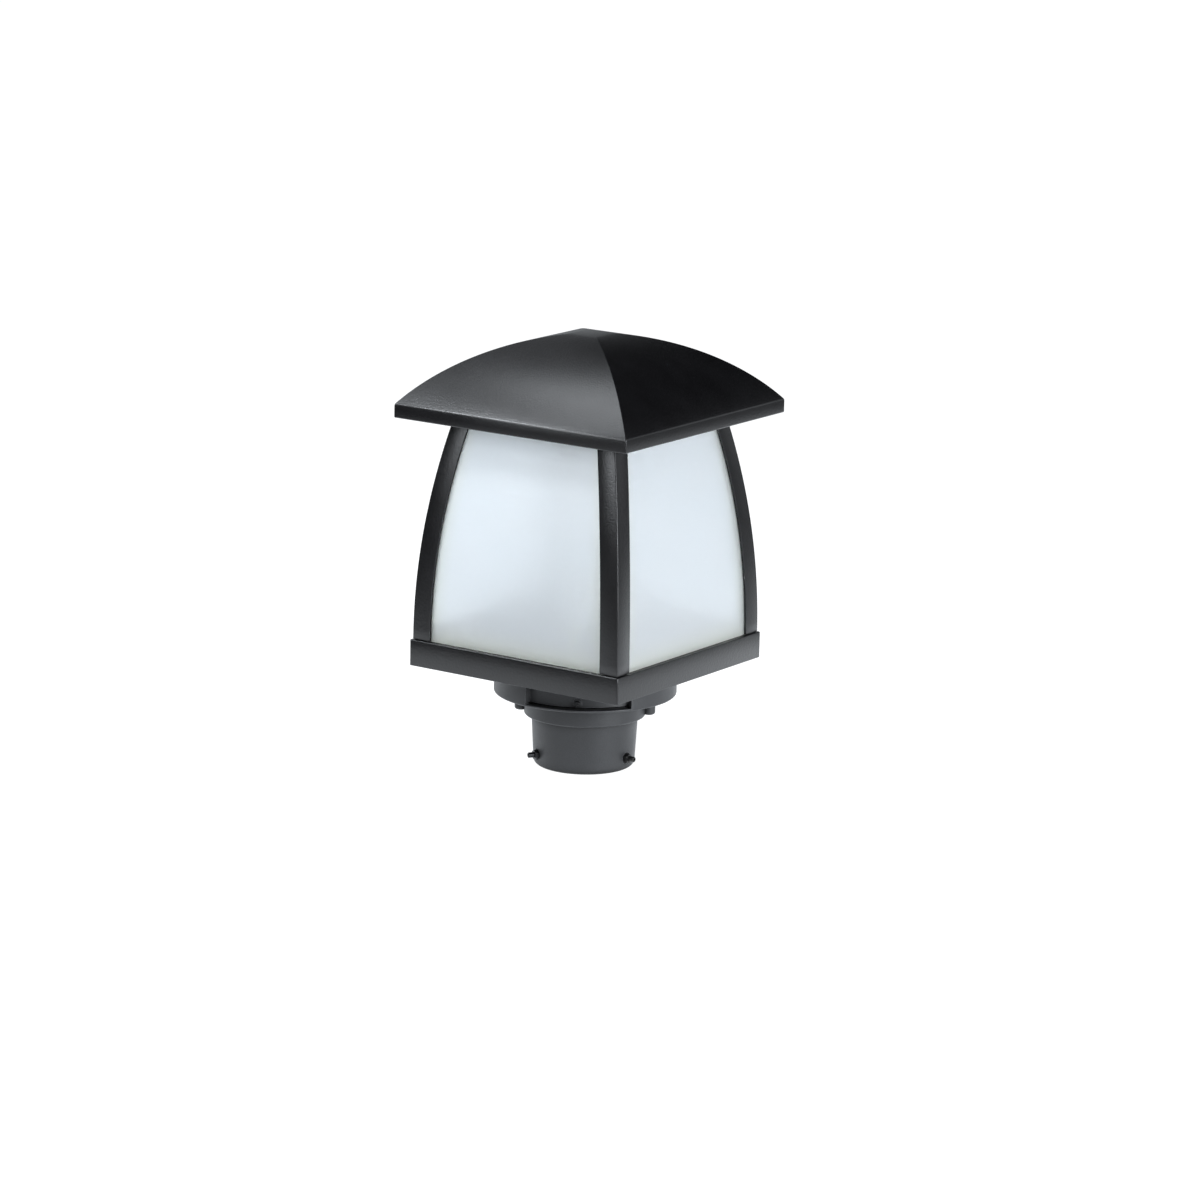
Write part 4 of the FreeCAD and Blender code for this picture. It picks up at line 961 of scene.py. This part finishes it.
@dataclass
class Tray:
    """Square tray under the cage: a straight skirt below a plate."""

    wall: float = 3.0 * MM
    plate: float = 3.0 * MM
    corner: float = 1.8 * MM
    corner_steps: int = 6
    edge: float = 0.8 * MM
    edge_steps: int = 3
    inner_edge: float = 0.5 * MM
    sharp: float = 60.0

    def build(self) -> None:
        """Make the tray."""
        low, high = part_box("base_tray")
        half, inner = high.x, high.x - self.wall
        under = high.z - self.plate
        section = [(inner, under), (inner, low.z), (half, low.z), (half, high.z)]
        made = Shape().tower(section, self.corner, segments=self.corner_steps)
        brim = high.z - MERGE_DISTANCE
        made.softened(self.edge, self.edge_steps, self.sharp,
                      lambda edge: all(vertex.co.z > brim for vertex in edge.verts))
        made.softened(self.inner_edge, sharper_than=self.sharp)
        made.piece("tray_casting", COAT, Body.LANTERN, "base_tray")


@dataclass
class Canopy:
    """Round pan under the tray, with a long recess in its wall."""

    turn: float = 210.0
    wall: float = 3.0 * MM
    floor: float = 3.5 * MM
    edge_round: float = 1.2 * MM
    edge_steps: int = 4
    hole: float = 30.0 * MM
    recess: float = 6.5 * MM
    recess_half_angle: float = 35.0
    backing_half_angle: float = 40.0
    ledge: float = 2.0 * MM
    recess_height: float = 36.0 * MM
    recess_edge: float = 0.45 * MM
    sharp: float = 40.0
    boss_radius: float = 4.0 * MM
    boss_edge: float = 0.4 * MM
    boss_rise: float = 1.2 * MM
    boss_height: float = 7.2 * MM
    boss_hole: float = 1.55 * MM
    boss_steps: int = 40
    inner_boss: float = 5.0 * MM
    inner_boss_inset: float = 5.2 * MM
    inner_boss_turn: float = 45.0
    inner_boss_steps: int = 32
    steps: int = 144

    def __post_init__(self) -> None:
        """Read the canopy's box."""
        low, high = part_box("canopy")
        self.radius, self.low, self.high = high.y, low.z, high.z
        self.inner = self.radius - self.wall
        turn = math.radians(self.turn + 90)
        self.front = Vector((math.cos(turn), math.sin(turn)))

    def press_in(self, made: Shape, half_angle: float, radius: float, low: float, high: float) -> None:
        """Push a patch of the wall towards the axis, by the recess's depth.

        Args:
            made: the canopy.
            half_angle: how far the patch reaches to either side, in degrees.
            radius: the radius of the wall's inner or outer face.
            low: the patch's lower end.
            high: its upper end.
        """
        patch = []
        for face in made.bm.faces:
            middle = face.calc_center_median()
            reach = middle.xy.length
            near = abs(reach - radius) < self.wall / 4 and low < middle.z < high
            if near and math.degrees(self.front.angle(middle.xy)) < half_angle:
                patch.append(face)
        pressed = made.extruded(patch, bmesh.types.BMVert)
        bmesh.ops.delete(made.bm, geom=patch, context="FACES")
        for vertex in pressed:
            reach = vertex.co.xy.length
            vertex.co.xy *= (reach - self.recess) / reach

    def pan(self) -> Shape:
        """Make the pan with its recess.

        Returns:
            The pan, without bosses.
        """
        edge, floor = self.edge_round, self.low + self.floor
        low, high = self.low + self.ledge, self.low + self.recess_height
        rim = circle_points((self.radius - edge, self.low + edge), edge, -90, 0, self.edge_steps)
        outline = [(self.hole, self.low), *rim, (self.radius, low), (self.radius, high),
                   (self.radius, self.high), (self.inner, self.high), (self.inner, floor),
                   (self.hole, floor)]
        made = Shape().turned(outline, steps=self.steps)
        self.press_in(made, self.backing_half_angle, self.inner, floor, self.high + self.wall)
        self.press_in(made, self.recess_half_angle, self.radius, low, high)
        return made.tidied().softened(self.recess_edge, sharper_than=self.sharp, wanted=self.is_outside)

    def is_outside(self, edge: bmesh.types.BMEdge) -> bool:
        """Tell whether an edge is one of the wall's, above the pan's underside."""
        return all(vertex.co.xy.length > self.inner - self.recess and vertex.co.z > self.low
                   for vertex in edge.verts)

    def recess_boss(self) -> Shape:
        """Make the boss in the middle of the recess.

        Returns:
            The boss in its place.
        """
        rim = self.boss_radius - self.boss_edge
        outline = [(self.boss_hole, 0.0), (rim, 0.0), (self.boss_radius, -self.boss_edge),
                   (self.boss_radius, -self.wall), (self.boss_hole, -self.wall)]
        reach = self.radius - self.recess + self.boss_rise
        place = Vector((*(self.front * reach), self.low + self.boss_height))
        outward = facing(Vector((*self.front, 0.0)))
        return Shape().turned(outline, steps=self.boss_steps).moved(Matrix.Translation(place) @ outward)

    def screw_boss(self, angle: float) -> Shape:
        """Make one of the bosses that the canopy's screws turn into.

        Args:
            angle: where it stands about the axis, in degrees.

        Returns:
            The boss in its place.
        """
        foot = self.low + self.floor / 2
        outline = [(0.0, foot), (self.inner_boss, foot), (self.inner_boss, self.high), (0.0, self.high)]
        made = Shape().turned(outline, steps=self.inner_boss_steps, closed=False)
        reach = self.inner - self.inner_boss_inset
        return made.moved(about_z(self.turn + angle) @ Matrix.Translation((reach, 0.0, 0.0)))

    def build(self) -> None:
        """Make the canopy."""
        made = self.pan().joined(self.recess_boss())
        for angle in QUARTERS:
            made.joined(self.screw_boss(angle + self.inner_boss_turn))
        made.piece("canopy_casting", CAST_COAT, Body.LANTERN, "canopy")
        dress(RUBBER, "tray_gasket", "collar_gasket")
        dress(BLACK_STEEL, "recess_screw")


@dataclass
class Collar:
    """Socket for the post, with three set screws and their lock nuts."""

    clamps: int = 3

    def build(self) -> None:
        """Dress the collar and its screws."""
        dress(CAST_COAT, "post_collar")
        for number in range(1, self.clamps + 1):
            dress(BLACK_STEEL, f"set_screw_{number}", f"lock_nut_{number}")


@dataclass
class Lampholder:
    """Porcelain lampholder on its bracket, with a sprung centre contact."""

    wire: float = 0.32 * MM
    wire_sides: int = 8
    turns: float = 4.0
    steps_per_turn: int = 20
    travel: float = 1.5 * MM

    def spring(self) -> None:
        """Make the contact's coil spring."""
        low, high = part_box("contact_spring")
        made = Shape()
        start = Matrix.Translation((high.x - self.wire, 0.0, low.z + self.wire))
        rise = high.z - low.z - 2 * self.wire
        bmesh.ops.create_circle(made.bm, segments=self.wire_sides, radius=self.wire, cap_ends=False,
                                matrix=start @ Matrix.Rotation(math.pi / 2, 4, "X"))
        steps = int(self.turns * self.steps_per_turn)
        bmesh.ops.spin(made.bm, geom=made.bm.verts[:] + made.bm.edges[:], axis=UP, cent=ORIGIN,
                       dvec=(0.0, 0.0, rise / steps), angle=math.tau * self.turns, steps=steps,
                       use_merge=False)
        bmesh.ops.holes_fill(made.bm, edges=made.bm.edges[:], sides=self.wire_sides)
        piece = made.tidied().piece("contact_coil", SPRING_STEEL, Body.LANTERN, "contact_spring")
        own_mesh(piece)

    def build(self) -> None:
        """Dress the lampholder and make its spring."""
        dress(PORCELAIN, "lampholder_body")
        dress(BRASS, "lampholder_shell", "centre_contact")
        dress(ZINC, "holder_bridge", "bridge_screws", "holder_screws")
        self.spring()


@dataclass
class Wiring:
    """Terminal block, leads, grommet and earth terminal."""

    def build(self) -> None:
        """Dress the wiring."""
        dress(TERMINAL, "terminal_block")
        dress(ZINC, "terminal_bracket", "terminal_screws", "block_screws", "earth_screw")
        dress(RUBBER, "grommet")
        dress(BRASS, "earth_tongue")
        dress(LIVE_SHEATH, "live_lead")
        dress(NEUTRAL_SHEATH, "neutral_lead")
        dress(EARTH_SHEATH, "earth_lead")


@dataclass
class Fasteners:
    """The screws and pads that hold the lantern together."""

    def build(self) -> None:
        """Dress the screws and pads."""
        dress(ZINC, "roof_screws", "post_screws_top", "post_screws_bottom", "strip_screws",
              "canopy_screws", "collar_screws")
        dress(RUBBER, "roof_pads")


# ---- the studio ----

def direction(azimuth: float, elevation: float) -> Vector:
    """Return the way from the lantern to a point seen at an azimuth and elevation, in degrees."""
    turn, rise = math.radians(azimuth), math.radians(elevation)
    return Vector((math.sin(turn) * math.cos(rise), -math.cos(turn) * math.cos(rise), math.sin(rise)))


@dataclass(frozen=True)
class Softbox:
    """An area light that aims at the lantern."""

    name: str
    azimuth: float
    elevation: float
    distance: float
    width: float
    height: float
    watts: float
    aim: float = 0.2
    tint: Colour = COOL

    def build(self) -> None:
        """Place the light."""
        data = bpy.data.lights.new(self.name, "AREA")
        data.shape = "RECTANGLE"
        data.size = self.width
        data.size_y = self.height
        data.energy = self.watts
        data.color = self.tint
        made = placed(self.name, data)
        away = direction(self.azimuth, self.elevation)
        made.location = Vector((0.0, 0.0, self.aim)) + away * self.distance
        made.rotation_euler = away.to_track_quat("Z", "Y").to_euler()
        made.visible_camera = False


@dataclass(frozen=True)
class Card:
    """A dark card out of the camera's sight, which the lantern's gloss shows."""

    name: str
    azimuth: float
    elevation: float
    distance: float
    width: float
    height: float
    tone: float = 0.01
    aim: float = 0.3

    def build(self) -> None:
        """Place the card."""
        card = Shape()
        bmesh.ops.create_grid(card.bm, x_segments=1, y_segments=1, size=0.5)
        away = direction(self.azimuth, self.elevation)
        place = Matrix.Translation(Vector((0.0, 0.0, self.aim)) + away * self.distance)
        card.moved(place @ facing(away) @ Matrix.Diagonal((self.width, self.height, 1.0, 1.0)))
        material, graph = new_material(self.name)
        shader = graph.node("BsdfDiffuse", {"Color": rgba((self.tone,) * 3)})
        graph.node("OutputMaterial", {"Surface": shader.outputs[0]})
        made = card.stage_piece(self.name, material)
        made.visible_camera = False
        made.visible_transmission = False
        made.visible_shadow = False


@dataclass(frozen=True)
class Camera:
    """The photograph's view, measured from it."""

    azimuth: float = 35.0
    elevation: float = 12.77
    roll: float = 1.12
    distance: float = 4.11555
    aim: float = 184.9 * MM
    focal_pixels: float = 4581.3
    sensor: float = 36.0
    aim_pixel: Level = (587.64, 563.81)

    def build(self) -> None:
        """Place the camera."""
        data = bpy.data.cameras.new("camera")
        data.sensor_width = self.sensor
        data.lens = self.focal_pixels / PHOTO_SIZE * self.sensor
        data.shift_x = 0.5 - self.aim_pixel[0] / PHOTO_SIZE
        data.shift_y = self.aim_pixel[1] / PHOTO_SIZE - 0.5
        made = placed("camera", data)
        away = direction(self.azimuth, self.elevation)
        roll = Matrix.Rotation(math.radians(self.roll), 3, "Z").to_quaternion()
        made.rotation_mode = "QUATERNION"
        made.rotation_quaternion = away.to_track_quat("Z", "Y") @ roll
        made.location = Vector((0.0, 0.0, self.aim)) + away * self.distance
        bpy.context.scene.camera = made


@dataclass(frozen=True)
class Pool:
    """A round of light on the floor that only gloss shows, fading out to its reach."""

    azimuth: float
    distance: float
    reach: float
    glow: float


@dataclass(frozen=True)
class Glow:
    """A soft patch of the surround that only gloss shows."""

    azimuth: float
    elevation: float
    half_angle: float
    strength: float


@dataclass
class Studio:
    """White floor and surround, soft lights and the camera.

    What gloss sees of the surround falls from horizon to ceiling between two heights of the way it
    looks, horizon_top and ceiling_start.
    """

    floor_radius: float = 40.0
    floor_sides: int = 64
    floor_glow: float = 0.92
    floor_tone: float = 0.25
    floor_mottle: float = 0.02
    mottle_scale: float = 3.0
    surround: float = 0.42
    horizon: float = 0.1
    ceiling: float = 0.03
    horizon_top: float = 0.24
    ceiling_start: float = 0.45
    pools: tuple[Pool, ...] = (
        Pool(145, 0.42, 1.1, 1.9),
        Pool(-42, 0.6, 0.8, 0.9),
    )
    glows: tuple[Glow, ...] = (
        Glow(-105, 30, 45, 0.38),
        Glow(215, 5, 18, 0.5),
        Glow(145, 12, 25, 0.95),
    )
    lights: tuple[Softbox, ...] = (
        Softbox("left_softbox", -57, 49, 2.2, 1.7, 1.4, 8.0),
        Softbox("front_softbox", 4, 24, 2.0, 1.1, 1.0, 8.0),
        Softbox("right_softbox", 84, 10, 2.2, 0.9, 0.9, 50.0),
        Softbox("near_softbox", -18.3, 26.2, 0.567, 0.2, 0.25, 1.05),
        Softbox("side_softbox", -95, 12, 1.6, 0.8, 0.8, 11.0),
        Softbox("crown_softbox", -63.4, 75.3, 0.879, 0.45, 0.45, 2.6),
        Softbox("edge_softbox", -48, 42, 2.2, 0.5, 0.3, 27.0),
    )
    cards: tuple[Card, ...] = (
        Card("rear_card", 190, 38, 1.6, 1.5, 1.2),
        Card("left_card", -45, -3, 0.9, 1.0, 0.5),
    )

    def floor(self) -> None:
        """Lay a white floor that shows the lantern's shadow and nothing of its own edge."""
        material, graph = new_material("white_floor")
        path = graph.node("LightPath").outputs
        place = graph.node("TexCoord").outputs["Object"]
        shine = 0.0
        for pool in self.pools:
            middle = direction(pool.azimuth, 0.0) * pool.distance
            away = graph.node("VectorMath", {0: place, 1: middle}, operation="DISTANCE").outputs["Value"]
            shine = graph.maths("ADD", shine, graph.spread(away, pool.glow, 0.0, end=pool.reach))
        shine = graph.maths("MULTIPLY", path["Is Glossy Ray"], shine)
        seen = graph.maths("MAXIMUM", path["Is Camera Ray"], path["Is Transmission Ray"])
        strength = graph.between(seen, shine, self.floor_glow)
        mottle = graph.spread(graph.noise(place, self.mottle_scale), self.floor_tone - self.floor_mottle,
                              self.floor_tone + self.floor_mottle)
        grey = graph.node("CombineColor", {0: mottle, 1: mottle, 2: mottle}).outputs[0]
        paint = graph.node("BsdfDiffuse", {"Color": grey})
        tint = graph.blend(path["Is Glossy Ray"], rgba(WHITE), rgba(COOL))
        glow = graph.node("Emission", {"Color": tint, "Strength": strength})
        lit = graph.node("AddShader", {0: paint.outputs[0], 1: glow.outputs[0]})
        clear = graph.node("BsdfTransparent")
        under = graph.node("NewGeometry").outputs["Backfacing"]
        whole = graph.node("MixShader", {0: under, 1: lit.outputs[0], 2: clear.outputs[0]})
        graph.node("OutputMaterial", {"Surface": whole.outputs[0]})
        disc = Shape()
        bmesh.ops.create_circle(disc.bm, cap_ends=True, radius=self.floor_radius,
                                segments=self.floor_sides)
        disc.stage_piece("floor", material)

    def world(self) -> None:
        """Surround the lantern with white, dimmer where it only lights."""
        made = bpy.data.worlds.new("surround")
        made.use_nodes = True
        graph = Graph(made.node_tree)
        path = graph.node("LightPath").outputs
        way = graph.node("TexCoord").outputs["Generated"]
        rise = graph.node("SeparateXYZ", {0: way}).outputs["Z"]
        band = graph.spread(rise, self.horizon, self.ceiling, self.horizon_top, self.ceiling_start)
        for patch in self.glows:
            near = graph.node("VectorMath", {0: way, 1: direction(patch.azimuth, patch.elevation)},
                              operation="DOT_PRODUCT").outputs["Value"]
            rim = math.cos(math.radians(patch.half_angle))
            band = graph.maths("ADD", band, graph.spread(near, 0.0, patch.strength, start=rim))
        unseen = graph.between(path["Is Glossy Ray"], self.surround, band)
        seen = graph.maths("MAXIMUM", path["Is Camera Ray"], path["Is Transmission Ray"])
        strength = graph.between(seen, unseen, 1.0)
        tint = graph.blend(seen, rgba(COOL), rgba(WHITE))
        glow = graph.node("Background", {"Color": tint, "Strength": strength})
        graph.node("OutputWorld", {"Surface": glow.outputs[0]})
        bpy.context.scene.world = made

    def build(self) -> None:
        """Set up the studio."""
        self.floor()
        self.world()
        for part in (*self.lights, *self.cards, Camera()):
            part.build()
        bpy.context.scene.view_settings.view_transform = "Standard"


def main() -> None:
    """Build the studio and every sub-assembly."""
    logging.basicConfig(level=logging.INFO, format="%(name)s: %(message)s")
    Studio().build()
    for assembly in (Roof(), Cage(), Tray(), Canopy(), Collar(), Lampholder(), Wiring(), Fasteners()):
        assembly.build()
        LOG.info("%s is dressed", type(assembly).__name__)


if __name__ == "__main__":
    main()
